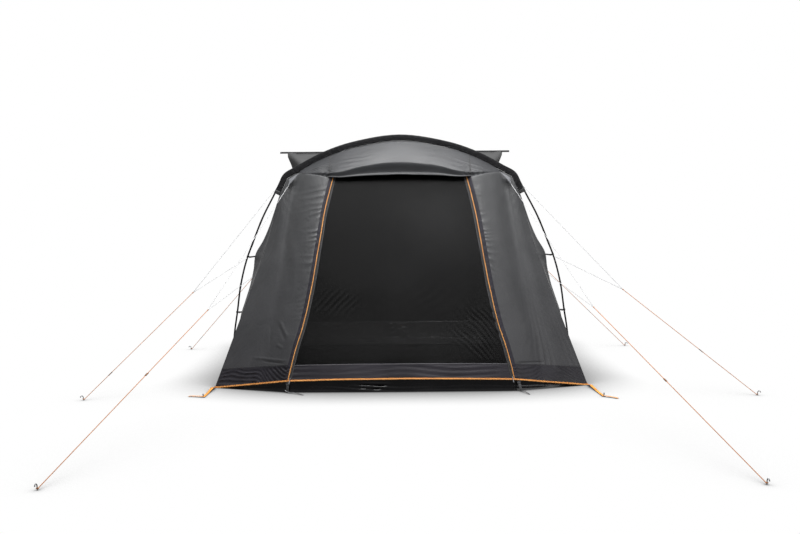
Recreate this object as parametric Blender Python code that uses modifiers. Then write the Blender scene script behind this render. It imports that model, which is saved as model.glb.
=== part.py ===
import bpy
import bmesh
import numpy as np
from math import pi, cos, sin
from mathutils import Matrix, Vector

# A drive-away awning: two arched poles in sleeves, a cloth body with a sloping front and a mesh door,
# a groundsheet, a tunnel back to the vehicle's strip, guy lines and pegs.
# Metres. X runs to the right as one faces the door, Y runs back from the front corners, Z is up.

GAP = 0.0003
CLOTH = 0.005
SHEET = 0.004

FRONT_ARCH = 0.50
REAR_ARCH = 2.50
REAR_HEM = 2.95
STRIP_Y = 3.62
STRIP_Z = 2.158
STRIP_HALF = 1.36
STRIP_TALL = 0.024
STRIP_DEEP = 0.020
STRIP_X = -0.057

POLE_R = 0.006
SLEEVE_DROP = 0.044
SLEEVE_WALL = 0.0016
LINE_R = 0.002
PIPING_R = 0.005
PEG_R = 0.003

# The arch of a pole, from its top to the ground: half width and height.
ARCH = [(0, 2.097), (0.338, 2.053), (0.479, 2.018), (0.646, 1.958), (0.889, 1.833), (1.007, 1.759),
        (1.043, 1.687), (1.083, 1.607), (1.19, 1.40), (1.283, 1.173), (1.327, 1.06), (1.391, 0.816),
        (1.425, 0.576), (1.449, 0.42), (1.468, 0.12), (1.47, 0.0005)]
TURN, SLEEVE_END = 4, 7
TOP_STEPS, TURN_STEPS, LEG_STEPS = 10, 6, 12

# The cloth's seam beside the bare pole, drawn in between the clips.
LEG_SEAM = [(1.065, 1.51), (1.10, 1.43), (1.14, 1.31), (1.20, 1.18), (1.266, 1.06), (1.275, 0.97),
            (1.305, 0.83), (1.35, 0.69), (1.39, 0.572), (1.425, 0.35), (1.455, 0.0)]
CLIP_HEIGHTS = {"upper": 1.06, "lower": 0.576}

CORNER = (1.537, 0.0, 0.0)
REAR_CORNER = (1.50, REAR_HEM, 0.0)
CORNER_LINE = [(1.14, 0.42, 1.20), (1.27, 0.30, 0.80), (1.40, 0.16, 0.41)]
ZIP_LINE = [(0.567, 0.35, 1.736), (0.632, 0.245, 1.45), (0.676, 0.142, 1.165), (0.735, 0.01, 0.79),
            (0.796, -0.09, 0.506), (0.852, -0.16, 0.321), (0.877, -0.198, 0.215), (0.904, -0.24, 0.092)]
MUD_LINE = 6
SILL = (0.0, -0.25, 0.1045)

# The lower edge of the front fascia: half width, depth and height.
VISOR = [(0, 0.305, 1.752), (0.30, 0.308, 1.748), (0.60, 0.325, 1.738), (0.75, 0.375, 1.762), (0.867, 0.49, 1.781)]

TUNNEL_FOOT = (1.15, REAR_HEM, 0.0)
TUNNEL_END = [(1.27, 2.146), (1.257, 2.085), (1.222, 2.00), (1.19, 1.84), (1.15, 1.40), (1.16, 0.70), (1.20, 0.0)]

ROOM = Vector((0, 1.5, 0.8))
PASSAGE = Vector((0, 3.25, 0.9))

# Where each side's guy lines are pegged and where they fork. The two sides are pegged out unevenly.
PEGS = {("side", "left"): (2.455, -0.499), ("side", "right"): (2.747, -0.503),
        ("front", "left"): (1.8905, -2.947), ("front", "right"): (1.8905, -2.947),
        ("rear", "left"): (2.231, 2.307), ("rear", "right"): (2.388, 2.338)}
FORKS = {("side", "left"): (1.7215, 0.0894, 0.7802), ("side", "right"): (1.8418, 0.0875, 0.7805),
         ("front", "left"): (1.4415, -0.70, 0.7115), ("front", "right"): (1.4415, -0.70, 0.7115)}
TAB = [(0.862, 0.435, 1.7755), (0.963, 0.487, 1.722), (0.955, 0.415, 1.668)]
PATCH_HEIGHT = 0.88

SIDES = {"left": -1, "right": 1}
SLIDERS = {("side", "left"): 0.226, ("side", "right"): 0.398, ("front", "left"): 0.551,
           ("front", "right"): 0.494, ("rear", "left"): 0.107, ("rear", "right"): 0.355}

# Corner webbing: the corner, the peg and the end of the loose tail.
ANCHORS = {("front", "left"): ((1.5405, -0.0138), (1.545, -0.420), (1.668, -0.385)),
           ("front", "right"): ((1.5405, -0.0138), (1.560, -0.510), (1.650, -0.600)),
           ("rear", "left"): ((1.5006, 2.9495), (1.63, 3.35), (1.74, 3.38)),
           ("rear", "right"): ((1.5006, 2.9495), (1.63, 3.35), (1.74, 3.38))}
WEB_TOP = 0.0058
DOOR_PEGS = {"left": ((0.905, -0.2428, 0.0780), (0.908, -0.270, 0.012), (0.771, -0.369, 0.0035)),
             "right": ((0.939, -0.2300, 0.0780), (0.953, -0.273, 0.012), (1.003, -0.410, 0.0035))}

COLORS = {
    "roof cloth": ((0.060, 0.061, 0.063), 0.55, 0.0),
    "mesh": ((0.010, 0.010, 0.011), 0.75, 0.0),
    "mud wall": ((0.022, 0.021, 0.024), 0.5, 0.0),
    "groundsheet": ((0.008, 0.008, 0.009), 0.25, 0.0),
    "sleeve": ((0.012, 0.012, 0.013), 0.7, 0.0),
    "pole": ((0.015, 0.015, 0.016), 0.3, 0.2),
    "plastic": ((0.012, 0.012, 0.012), 0.4, 0.0),
    "orange": ((0.83, 0.27, 0.03), 0.6, 0.0),
    "strip": ((0.018, 0.018, 0.018), 0.6, 0.0),
    "tab": ((0.35, 0.36, 0.37), 0.6, 0.0),
    "steel": ((0.30, 0.30, 0.31), 0.35, 0.9),
}

for old in list(bpy.data.objects):
    bpy.data.objects.remove(old, do_unlink=True)

awning = bpy.data.collections.new("drive_away_awning")
bpy.context.scene.collection.children.link(awning)
cutters = bpy.data.collections.new("cutters")
bpy.context.scene.collection.children.link(cutters)


def finish(obj, look):
    tint, rough, metal = COLORS[look]
    mat = bpy.data.materials.new(obj.name + " " + look)
    mat.use_nodes = True
    shader = mat.node_tree.nodes["Principled BSDF"]
    shader.inputs["Base Color"].default_value = (*tint, 1)
    shader.inputs["Roughness"].default_value = rough
    shader.inputs["Metallic"].default_value = metal
    mat.diffuse_color = (*tint, 1)
    obj.data.materials.clear()
    obj.data.materials.append(mat)
    return obj


def place(name, mesh, target=None):
    obj = bpy.data.objects.new(name, mesh)
    (target or awning).objects.link(obj)
    if target is cutters:
        obj.hide_render = True
        obj.display_type = 'WIRE'
    return obj


# A fine smooth line through control points, with the index at which each control point lies.
def fine_line(points, steps=24):
    pts = np.array(points, dtype=float)
    chord = np.r_[0, np.cumsum(np.linalg.norm(np.diff(pts, axis=0), axis=1))]
    slope = np.gradient(pts, chord, axis=0)
    line = []
    for i in range(len(pts) - 1):
        span = chord[i + 1] - chord[i]
        for k in range(steps):
            t = k / steps
            line.append((2 * t**3 - 3 * t**2 + 1) * pts[i] + (t**3 - 2 * t**2 + t) * span * slope[i]
                        + (3 * t**2 - 2 * t**3) * pts[i + 1] + (t**3 - t**2) * span * slope[i + 1])
    line.append(pts[-1])
    return np.array(line), steps


def resample(line, count):
    run = np.r_[0, np.cumsum(np.linalg.norm(np.diff(line, axis=0), axis=1))]
    at = np.linspace(0, run[-1], count + 1)
    return np.stack([np.interp(at, run, line[:, k]) for k in range(line.shape[1])], axis=1)


# Points on a smooth line: each pair is a control point to stop at and the steps taken to reach it.
def steps_along(points, stops):
    line, fine = fine_line(points)
    taken, start = [], 0
    for stop, count in stops:
        part = resample(line[start * fine:stop * fine + 1], count)
        taken.extend(part if not taken else part[1:])
        start = stop
    return np.array(taken)


def unit(v):
    return v / np.linalg.norm(v)


# One half of the arch, top to foot, with the outward direction at each point.
def half_arch():
    both = [(-x, z) for x, z in ARCH[:0:-1]] + ARCH
    shift = len(ARCH) - 1
    line, fine = fine_line(both)
    line = line[shift * fine:]
    taken, start = [], 0
    for stop, count in ((TURN, TOP_STEPS), (SLEEVE_END, TURN_STEPS), (shift, LEG_STEPS)):
        part = resample(line[start * fine:stop * fine + 1], count)
        taken.extend(part if not taken else part[1:])
        start = stop
    pts = np.array(taken)
    along = np.gradient(pts, axis=0)
    along[0] = (1, 0)
    out = np.array([unit((-t[1], t[0])) for t in along])
    return pts, out


ARCH_POINTS, ARCH_OUT = half_arch()
TOP = TOP_STEPS + TURN_STEPS


def on_side(point, side):
    return (point[0] * side, *point[1:])


def mirrored(points, side):
    pts = np.array(points, dtype=float)
    pts[..., 0] *= side
    return pts


# The seam under the sleeve and beside the leg, as points of one half in the plane of an arch.
def seam_top(depth):
    pts = ARCH_POINTS[:TOP + 1] - SLEEVE_DROP * ARCH_OUT[:TOP + 1]
    return np.c_[pts[:, 0], np.full(len(pts), depth), pts[:, 1]]


def seam_leg(depth):
    start = seam_top(depth)[-1]
    pts = [(start[0], start[2])] + LEG_SEAM
    flat = steps_along(pts, ((len(pts) - 1, LEG_STEPS),))
    return np.c_[flat[:, 0], np.full(len(flat), depth), flat[:, 1]]


def seam_across(depth, reach=TOP):
    half = seam_top(depth)[:reach + 1]
    return np.vstack([mirrored(half[:0:-1], -1), half])


# A patch filled in between four edges: top and bottom run the same way, as do left and right.
def coons(top, bottom, left, right):
    u = np.linspace(0, 1, len(top))[None, :, None]
    v = np.linspace(0, 1, len(left))[:, None, None]
    across = (1 - v) * top[None] + v * bottom[None]
    down = (1 - u) * left[:, None] + u * right[:, None]
    corners = ((1 - u) * (1 - v) * top[0] + u * (1 - v) * top[-1]
               + (1 - u) * v * bottom[0] + u * v * bottom[-1])
    return across + down - corners


def loft(lines, count, sag=None):
    lines = [np.array(line) for line in lines]
    rows = []
    for k in range(count + 1):
        t = k / count
        row = (1 - t) * lines[0] + t * lines[-1]
        rows.append(row + (sag(row, t) if sag else 0))
    return np.array(rows)


# The border of a grid moved towards the grid's middle, or out of it for a negative distance.
def pulled_in(grid, by):
    g = grid.copy()
    for axis in (0, 1):
        first, second = (g[0], g[1]) if axis == 0 else (g[:, 0], g[:, 1])
        last, before = (g[-1], g[-2]) if axis == 0 else (g[:, -1], g[:, -2])
        step = (second - first) / np.linalg.norm(second - first, axis=-1, keepdims=True) * by
        back = (before - last) / np.linalg.norm(before - last, axis=-1, keepdims=True) * by
        if axis == 0:
            g[0] += step
            g[-1] += back
        else:
            g[:, 0] += step
            g[:, -1] += back
    return g


# A sheet of cloth from a grid of points on its outer face, thick towards the middle of its room.
def cloth_mesh(name, grid, middle, thick=CLOTH, grow=0.0):
    grid = pulled_in(grid, GAP * 0.7 if grow == 0 else -grow)
    rows, cols = grid.shape[:2]
    outer = grid.reshape(-1, 3)
    inward = np.array(middle) - outer
    inward /= np.linalg.norm(inward, axis=1, keepdims=True)
    inner = outer + inward * (thick + grow)
    outer = outer - inward * grow
    shift = len(outer)

    def at(r, c):
        return r * cols + c
    faces = []
    for r in range(rows - 1):
        for c in range(cols - 1):
            a, b, d, e = at(r, c), at(r, c + 1), at(r + 1, c + 1), at(r + 1, c)
            for tri in ((a, b, d), (a, d, e)):
                faces.append(tri)
                faces.append(tuple(k + shift for k in reversed(tri)))
    rim = ([at(0, c) for c in range(cols)] + [at(r, cols - 1) for r in range(1, rows)]
           + [at(rows - 1, c) for c in range(cols - 2, -1, -1)] + [at(r, 0) for r in range(rows - 2, 0, -1)])
    for a, b in zip(rim, rim[1:] + rim[:1]):
        faces.append((b, a, a + shift))
        faces.append((b, a + shift, b + shift))
    mesh = bpy.data.meshes.new(name)
    mesh.from_pydata([tuple(p) for p in np.vstack([outer, inner])], [], faces)
    work = bmesh.new()
    work.from_mesh(mesh)
    if work.calc_volume(signed=True) < 0:
        bmesh.ops.reverse_faces(work, faces=work.faces)
    work.to_mesh(mesh)
    work.free()
    return mesh


sheets = {}


def cloth(name, grid, look, middle=ROOM, thick=CLOTH):
    sheets[name] = (grid, middle, thick)
    return finish(place(name, cloth_mesh(name, grid, middle, thick)), look)


def grown(name):
    grid, middle, thick = sheets[name]
    label = "room for " + name
    if label in bpy.data.objects:
        return bpy.data.objects[label]
    return place(label, cloth_mesh(label, grid, middle, thick, grow=GAP), cutters)


def tube(name, points, radius, sides=2, target=None):
    curve = bpy.data.curves.new(name, 'CURVE')
    curve.dimensions = '3D'
    curve.bevel_depth = radius
    curve.bevel_resolution = sides
    curve.use_fill_caps = True
    spline = curve.splines.new('POLY')
    spline.points.add(len(points) - 1)
    for point, co in zip(spline.points, points):
        point.co = (*co, 1)
    return place(name, curve, target)


# A curve or a modified object turned into a plain closed mesh object of the same name.
def solid(obj):
    graph = bpy.context.evaluated_depsgraph_get()
    mesh = bpy.data.meshes.new_from_object(obj.evaluated_get(graph))
    work = bmesh.new()
    work.from_mesh(mesh)
    bmesh.ops.remove_doubles(work, verts=work.verts, dist=0.00001)
    work.to_mesh(mesh)
    work.free()
    name, matrix, home = obj.name, obj.matrix_world.copy(), obj.users_collection[0]
    bpy.data.objects.remove(obj, do_unlink=True)
    made = place(name, mesh, home)
    made.matrix_world = matrix
    return made


def combine(obj, other, operation):
    step = obj.modifiers.new(operation.lower(), 'BOOLEAN')
    step.operation = operation
    step.solver = 'EXACT'
    step.object = other
    return obj


def fused(name, pieces, cuts=()):
    body = pieces[0]
    for piece in pieces[1:]:
        combine(body, piece, 'UNION')
    for cut in cuts:
        combine(body, cut, 'DIFFERENCE')
    bpy.context.view_layer.update()
    body = solid(body)
    for piece in pieces[1:]:
        bpy.data.objects.remove(piece, do_unlink=True)
    body.name = name
    return body


def box(name, size, center, turn=None, target=None):
    mesh = bpy.data.meshes.new(name)
    work = bmesh.new()
    bmesh.ops.create_cube(work, size=1, matrix=Matrix.Diagonal((*size, 1)))
    work.to_mesh(mesh)
    work.free()
    obj = place(name, mesh, target)
    obj.matrix_world = Matrix.Translation(center) @ (turn.to_4x4() if turn else Matrix())
    return obj


def ball(name, center, radius):
    mesh = bpy.data.meshes.new(name)
    work = bmesh.new()
    bmesh.ops.create_uvsphere(work, u_segments=8, v_segments=6, radius=radius)
    work.to_mesh(mesh)
    work.free()
    obj = place(name, mesh)
    obj.location = center
    return obj


# A turn whose first axis points along a direction and whose second lies as flat as it can.
def facing(direction):
    x = Vector(direction).normalized()
    y = Vector((0, 0, 1)).cross(x)
    y = y.normalized() if y.length > 0.001 else Vector((0, 1, 0))
    return Matrix((x, y, x.cross(y))).transposed()


def on_arch(height):
    order = np.argsort(ARCH_POINTS[TOP:, 1])
    return float(np.interp(height, ARCH_POINTS[TOP:, 1][order], ARCH_POINTS[TOP:, 0][order]))


def on_seam(height):
    leg = seam_leg(0)[::-1]
    return float(np.interp(height, leg[:, 2], leg[:, 0]))


def make_pole(name, depth):
    half = np.c_[ARCH_POINTS[:, 0], np.full(len(ARCH_POINTS), depth), ARCH_POINTS[:, 1]]
    path = np.vstack([mirrored(half[:0:-1], -1), half])
    return finish(tube(name, path, POLE_R), "pole")


# The sleeve hugs the pole at its top and narrows to the seam below it; its ends are open.
def make_sleeve(name, depth):
    half = ARCH_POINTS[:TOP + 1]
    path = np.vstack([mirrored(half[:0:-1], -1), half])
    r = POLE_R + GAP + SLEEVE_WALL
    section = [(r * sin(a), r * cos(a)) for a in np.linspace(-pi / 2, pi / 2, 7)]
    section += [(0.0045, -SLEEVE_DROP + GAP * 2), (-0.0045, -SLEEVE_DROP + GAP * 2)]
    outline = bpy.data.curves.new(name + " section", 'CURVE')
    outline.dimensions = '2D'
    ring = outline.splines.new('POLY')
    ring.points.add(len(section) - 1)
    for point, (across, up) in zip(ring.points, section):
        point.co = (-up, across, 0, 1)
    ring.use_cyclic_u = True
    profile = place(name + " section", outline, cutters)
    curve = bpy.data.curves.new(name, 'CURVE')
    curve.dimensions = '2D'
    curve.bevel_mode = 'OBJECT'
    curve.bevel_object = profile
    curve.use_fill_caps = False
    spline = curve.splines.new('POLY')
    spline.points.add(len(path) - 1)
    for point, (x, z) in zip(spline.points, path):
        point.co = (x, z, 0, 1)
    sleeve = place(name, curve)
    sleeve.rotation_euler = (pi / 2, 0, 0)
    sleeve.location = (0, depth, 0)
    wall = sleeve.modifiers.new("wall", 'SOLIDIFY')
    wall.thickness = SLEEVE_WALL
    wall.offset = -1
    wall.use_even_offset = True
    bpy.context.view_layer.update()
    sleeve = solid(sleeve)
    work = bmesh.new()
    work.from_mesh(sleeve.data)
    if work.calc_volume(signed=True) < 0:
        bmesh.ops.reverse_faces(work, faces=work.faces)
    work.to_mesh(sleeve.data)
    work.free()
    return finish(sleeve, "sleeve")


# A hooked ring round the pole with a short webbing strap back to the cloth.
def make_clip(name, side, depth, height, cuts):
    x, seam = on_arch(height), on_seam(height)
    below, above = on_arch(height - 0.02), on_arch(height + 0.02)
    along = Vector((above - below, 0, 0.04)).normalized()
    inner, outer, tall = POLE_R + GAP, POLE_R + 0.0035, 0.016
    ring = bpy.data.meshes.new(name)
    work = bmesh.new()
    bmesh.ops.create_cone(work, cap_ends=True, segments=12, radius1=outer, radius2=outer, depth=tall)
    work.to_mesh(ring)
    work.free()
    ring = place(name, ring)
    turn = along.to_track_quat('Z', 'Y').to_matrix()
    ring.matrix_world = Matrix.Translation((x, depth, height)) @ turn.to_4x4()
    hole = tube(name + " hole", [Vector((x, depth, height)) + along * s for s in (-0.03, 0.03)],
                inner / cos(pi / 16) + 0.0001, sides=6, target=cutters)
    hole = solid(hole)
    reach = x - seam + 0.0015
    strap = box(name + " strap", (reach, 0.016, 0.003), (x - reach / 2 - POLE_R * 0.3, depth, height))
    clip = fused(name, [ring, strap], [hole, *cuts])
    if side < 0:
        flip(clip)
    return finish(clip, "plastic")


def flip(obj):
    mesh = obj.data
    mesh.transform(obj.matrix_world)
    obj.matrix_world = Matrix()
    mesh.transform(Matrix.Diagonal((-1, 1, 1, 1)))
    mesh.flip_normals()
    return obj


# A peg's part above the ground: a rod with a hooked head that leans away from its line.
def make_peg(name, foot, away, up=0.030):
    a = Vector((away[0], away[1], 0)).normalized()
    spots = [(0, 0), (0, 0.010), (0.004, up), (0.012, up + 0.007), (0.021, up + 0.003), (0.024, up - 0.007)]
    base = Vector((foot[0], foot[1], 0))
    return finish(tube(name, [base + a * s + Vector((0, 0, z)) for s, z in spots], PEG_R, sides=1), "steel")


# The knot of a line's end loop, drawn tight against its peg.
def peg_knot(name, foot, away, radius=0.0055):
    a = Vector((away[0], away[1], 0)).normalized()
    center = Vector((foot[0], foot[1], radius + 0.0005)) - a * (radius + PEG_R + GAP)
    return ball(name, center, radius), center


# A guy line: from its peg to its slider and on to the tent, or to a fork with two branches.
def make_guy(name, foot, ends, join, slider, cuts):
    away = Vector((foot[0], foot[1], 0)) - Vector((join or ends[0])[:2] + (0,))
    knot, start = peg_knot(name + " knot", foot, away)
    top = Vector(join or ends[0])
    pieces = [solid(tube(name, [start, top], LINE_R)), knot]
    at = start.lerp(top, slider)
    pieces.append(box(name + " slider", (0.040, 0.011, 0.009), at, facing(top - start)))
    if join:
        pieces.append(ball(name + " fork", join, 0.006))
        for k, end in enumerate(ends):
            pieces.append(solid(tube(f"{name} branch {k}", [Vector(join), Vector(end)], LINE_R)))
    return finish(fused(name, pieces, cuts), "orange")


# The space that a round piece and the gap around it take up.
def room_round(name, points, radius):
    return solid(tube("room for " + name, points, (radius + GAP) / cos(pi / 16), sides=6, target=cutters))


# Webbing laid flat along a path, its upper face at the path.
def webbing(name, path, width, thick=0.003):
    pts = np.array(path, dtype=float)
    along = np.gradient(pts, axis=0)
    across = np.cross(along, (0, 0, 1))
    across /= np.linalg.norm(across, axis=1, keepdims=True)
    over = np.cross(across, along)
    over /= np.linalg.norm(over, axis=1, keepdims=True)
    rings = [pts - across * width / 2, pts + across * width / 2,
             pts + across * width / 2 - over * thick, pts - across * width / 2 - over * thick]
    count = len(pts)
    faces = [(3 * count, 2 * count, count, 0), tuple((k + 1) * count - 1 for k in range(4))]
    for k in range(4):
        one, two = k * count, (k + 1) % 4 * count
        faces += [(one + i, two + i, two + i + 1, one + i + 1) for i in range(count - 1)]
    mesh = bpy.data.meshes.new(name)
    mesh.from_pydata([tuple(p) for ring in rings for p in ring], [], faces)
    work = bmesh.new()
    work.from_mesh(mesh)
    bmesh.ops.recalc_face_normals(work, faces=work.faces)
    work.to_mesh(mesh)
    work.free()
    return place(name, mesh)


# A corner's webbing with its ladder buckle, out to its peg and on to the loose tail.
def make_anchor(name, corner, peg, tail, cuts):
    corner, peg, tail = Vector(corner), Vector(peg), Vector(tail)
    out = (peg - corner).normalized()
    web = webbing(name, [corner, corner.lerp(peg, 0.18) + Vector((0, 0, 0.008)), corner.lerp(peg, 0.6), peg], 0.020)
    buckle = box(name + " buckle", (0.034, 0.028, 0.009), corner.lerp(peg, 0.16) + Vector((0, 0, 0.006)), facing(out))
    side = (tail - peg).normalized()
    loose = webbing(name + " tail", [peg - side * 0.008, peg.lerp(tail, 0.5) + Vector((0, 0, 0.002)), tail], 0.018)
    a = Vector((out.x, out.y, 0)).normalized()
    rod = solid(make_peg(name + " peg", peg, a))
    return finish(fused(name, [web, buckle, loose, rod], cuts), "orange")


# A dark tab from the hem beside the door down to a peg that slants forward into the ground.
def make_door_peg(name, top, ground, tip):
    web = webbing(name, [top, Vector(top).lerp(Vector(ground), 0.5), ground], 0.022)
    rod = solid(tube(name + " rod", [ground, Vector(ground).lerp(Vector(tip), 0.5) + Vector((0, 0, 0.006)), tip],
                     PEG_R, sides=1))
    ring = ball(name + " eye", ground, 0.0065)
    return finish(fused(name, [web, rod, ring]), "plastic")


def front_wing_lines():
    leg = seam_leg(FRONT_ARCH)
    corner = steps_along([tuple(leg[0])] + CORNER_LINE + [CORNER], ((len(CORNER_LINE) + 1, LEG_STEPS),))
    return leg, corner


def zip_line():
    return steps_along(ZIP_LINE, ((MUD_LINE, LEG_STEPS - 2), (len(ZIP_LINE) - 1, 2)))


def visor_line():
    seam = seam_top(FRONT_ARCH)[:TOP_STEPS + 1]
    data = np.array(VISOR)
    x = np.minimum(seam[:, 0], data[-1, 0])
    line = fine_line(VISOR)[0]
    return np.c_[x, np.interp(x, line[:, 0], line[:, 1]), np.interp(x, line[:, 0], line[:, 2])]


def tunnel_seam():
    start = seam_top(REAR_ARCH)[TOP_STEPS]
    middle = tuple(start * 0.45 + np.array(TUNNEL_FOOT) * 0.55 + np.array((-0.02, 0.02, 0)))
    return steps_along([tuple(start), middle, TUNNEL_FOOT], ((2, LEG_STEPS),))


# Body
def roof_sag(row, t):
    dip = np.zeros_like(row)
    dip[:, 2] = -0.030 * sin(pi * t) * np.clip((row[:, 2] - 1.62) / 0.4, 0, 1)
    dip[:, 0] = -0.020 * sin(pi * t) * row[:, 0]
    return dip


def wall_sag(row, t):
    dip = np.zeros_like(row)
    low = np.clip(row[:, 2] / 0.35, 0, 1)
    dip[:, 0] = -0.020 * sin(pi * t) * row[:, 0] * low
    return dip


cloth("roof_panel", loft([seam_across(FRONT_ARCH), seam_across(REAR_ARCH)], 4, roof_sag), "roof cloth")

visor = visor_line()
top_line = seam_top(FRONT_ARCH)
fascia_top = seam_across(FRONT_ARCH, TOP_STEPS)
fascia_low = np.vstack([mirrored(visor[:0:-1], -1), visor])
cloth("front_fascia", loft([fascia_top, fascia_low], 3), "roof cloth")

zips = zip_line()
FIRST_SEWN = 7
for label, side in SIDES.items():
    leg, corner = front_wing_lines()
    rear_leg = seam_leg(REAR_ARCH)
    cloth("side_wall_" + label, loft([mirrored(leg, side), mirrored(rear_leg, side)], 4, wall_sag), "roof cloth")

    near = steps_along([tuple(a) for a in (leg[0], leg[1])], ((1, 4),))[1:2]
    wing_leg = np.vstack([near, leg[1:]])
    near = steps_along([tuple(a) for a in (corner[0], corner[1])], ((1, 4),))[1:2]
    wing_corner = np.vstack([near, corner[1:]])
    cloth("front_wing_" + label, loft([mirrored(wing_corner, side), mirrored(wing_leg, side)], 3), "roof cloth")

    top = np.vstack([zips[:1], visor[FIRST_SEWN:], top_line[TOP_STEPS + 1:]])
    top[1, 2] -= 0.003
    hem = resample(np.array([ZIP_LINE[-1], CORNER]), len(top) - 1)
    cloth("front_panel_" + label, mirrored(coons(top, hem, zips, corner), side), "roof cloth")

    seam = tunnel_seam()
    low = resample(np.array([TUNNEL_FOOT, REAR_CORNER]), 3)
    turn = resample(np.array([REAR_CORNER, tuple(rear_leg[-1])]), 3)
    cloth("rear_wall_" + label,
          mirrored(coons(seam_top(REAR_ARCH)[TOP_STEPS:], np.vstack([low, turn[1:]]), seam, rear_leg), side),
          "roof cloth")

seam = tunnel_seam()
sill = resample(np.array([(-TUNNEL_FOOT[0], REAR_HEM, 0), TUNNEL_FOOT]), 2 * TOP_STEPS)
cloth("rear_door", coons(seam_across(REAR_ARCH, TOP_STEPS), sill, mirrored(seam, -1), seam), "roof cloth")

# Door, its head sewn to the back of the fascia
door_reach = 6
split = LEG_STEPS - 2
fascia_row = sheets["front_fascia"][0][2][TOP_STEPS - door_reach:TOP_STEPS + door_reach + 1]
behind = np.array(ROOM) - fascia_row
head = fascia_row + behind / np.linalg.norm(behind, axis=1, keepdims=True) * (CLOTH + 3 * GAP)
across = head[:, 0] / head[-1, 0]
door_cols = len(across) - 1
rows = [head]
for x, y, z in zips:
    low = np.clip((0.45 - z) / 0.36, 0, 1)
    rows.append(np.c_[across * x, y + (SILL[1] - ZIP_LINE[-1][1]) * low * (1 - across**2),
                      z + (SILL[2] - ZIP_LINE[-1][2]) * low * (1 - across**2)])
door = np.array(rows)
cloth("door_mesh", door[:split + 2], "mesh")
cloth("door_mud_wall", door[split + 1:], "mud wall")

# Groundsheet, with its lip rising to the hem in front
hem_half = np.vstack([door[-1][door_cols // 2:], resample(np.array([ZIP_LINE[-1], CORNER]), 10)[1:]])
lip = hem_half[hem_half[:, 2] > 0.010]
floor_rows = [np.c_[lip[:, 0], lip[:, 1] + 0.0004, lip[:, 2] - 2 * GAP]]
ground = lip.copy()
ground[:, 2] = 0
floor_rows.append(np.c_[ground[:, 0], ground[:, 1] + 0.0004, ground[:, 2]])
for depth, reach in ((FRONT_ARCH, 1.447), (1.5, 1.447), (REAR_ARCH, 1.447), (REAR_HEM - 0.008, 1.485)):
    floor_rows.append(np.c_[np.linspace(0, reach, len(lip)), np.full(len(lip), depth), np.zeros(len(lip))])
floor = np.array([np.vstack([mirrored(row[:0:-1], -1), row]) for row in floor_rows])
mesh = bpy.data.meshes.new("groundsheet")
count = floor.shape[1]
mesh.from_pydata([tuple(p) for p in floor.reshape(-1, 3)], [],
                 [(r * count + c, r * count + c + 1, (r + 1) * count + c + 1, (r + 1) * count + c)
                  for r in range(len(floor) - 1) for c in range(count - 1)])
groundsheet = place("groundsheet", mesh)
layer = groundsheet.modifiers.new("layer", 'SOLIDIFY')
layer.thickness = SHEET
layer.offset = 1
layer.use_even_offset = True
finish(groundsheet, "groundsheet")

# Tunnel
tunnel_front = ARCH_POINTS[:TOP_STEPS + 1] - 0.030 * ARCH_OUT[:TOP_STEPS + 1]
tunnel_front = np.c_[tunnel_front[:, 0], np.full(len(tunnel_front), REAR_ARCH + 0.0080), tunnel_front[:, 1]]
end = [(x, STRIP_Y - STRIP_DEEP / 2 - GAP, z) for x, z in TUNNEL_END]
back_top = resample(np.array([(0, end[0][1], STRIP_Z), end[0]]), TOP_STEPS)
front_across = np.vstack([mirrored(tunnel_front[:0:-1], -1), tunnel_front])
back_across = np.vstack([mirrored(back_top[:0:-1], -1), back_top]) + (STRIP_X, 0, 0)
cloth("tunnel_roof", loft([front_across, back_across], 4), "roof cloth", PASSAGE)
end_line = steps_along(end, ((len(end) - 1, LEG_STEPS),))
joint = seam + (seam - np.array(ROOM)) / np.linalg.norm(seam - np.array(ROOM), axis=1, keepdims=True) * 2 * GAP
joint[:, 1] += GAP
joint[0] = tunnel_front[-1]
joint[:, 2] = np.maximum(joint[:, 2], 2 * GAP)
for label, side in SIDES.items():
    far_line = mirrored(end_line, side) + (STRIP_X, 0, 0)
    cloth("tunnel_wall_" + label, loft([mirrored(joint, side), far_line], 3), "roof cloth", PASSAGE)
finish(box("vehicle_strip", (2 * STRIP_HALF, STRIP_DEEP, STRIP_TALL), (STRIP_X, STRIP_Y, STRIP_Z)), "strip")

# Poles, sleeves and clips
for label, depth in (("front", FRONT_ARCH), ("rear", REAR_ARCH)):
    make_pole(label + "_pole", depth)
    make_sleeve(label + "_pole_sleeve", depth)
    for place_name, height in CLIP_HEIGHTS.items():
        near = ["side_wall_right", "front_wing_right" if label == "front" else "rear_wall_right"]
        for side_name, side in SIDES.items():
            make_clip(f"{label}_clip_{place_name}_{side_name}", side, depth, height, [grown(n) for n in near])

# Piping along the door zips and the front hem
def normals_between(line, first, second):
    along = np.gradient(line, axis=0)
    one, two = np.cross(along, first - line), np.cross(along, second - line)
    one /= np.linalg.norm(one, axis=1, keepdims=True)
    two /= np.linalg.norm(two, axis=1, keepdims=True)
    one *= np.sign(-one[:, 1:2])
    two *= np.sign(-two[:, 1:2])
    out = one + two
    return out / np.linalg.norm(out, axis=1, keepdims=True)


panel = sheets["front_panel_right"][0]
zip_out = normals_between(zips, door[1:, -2], panel[:, 1])
for label, side in SIDES.items():
    line = mirrored(zips + zip_out * (PIPING_R + 3 * GAP), side)[:-1]
    finish(tube("door_piping_" + label, line, PIPING_R), "orange")
hem_line = np.vstack([mirrored(hem_half[:0:-1], -1), hem_half])
along = np.gradient(hem_line, axis=0)
out = np.c_[along[:, 1], -along[:, 0], np.zeros(len(along))]
out /= np.linalg.norm(out, axis=1, keepdims=True)
piping = hem_line + out * (PIPING_R + 2 * GAP)
piping[:, 2] = np.maximum(piping[:, 2], PIPING_R + GAP)
finish(tube("hem_piping", piping, PIPING_R), "orange")

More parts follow.
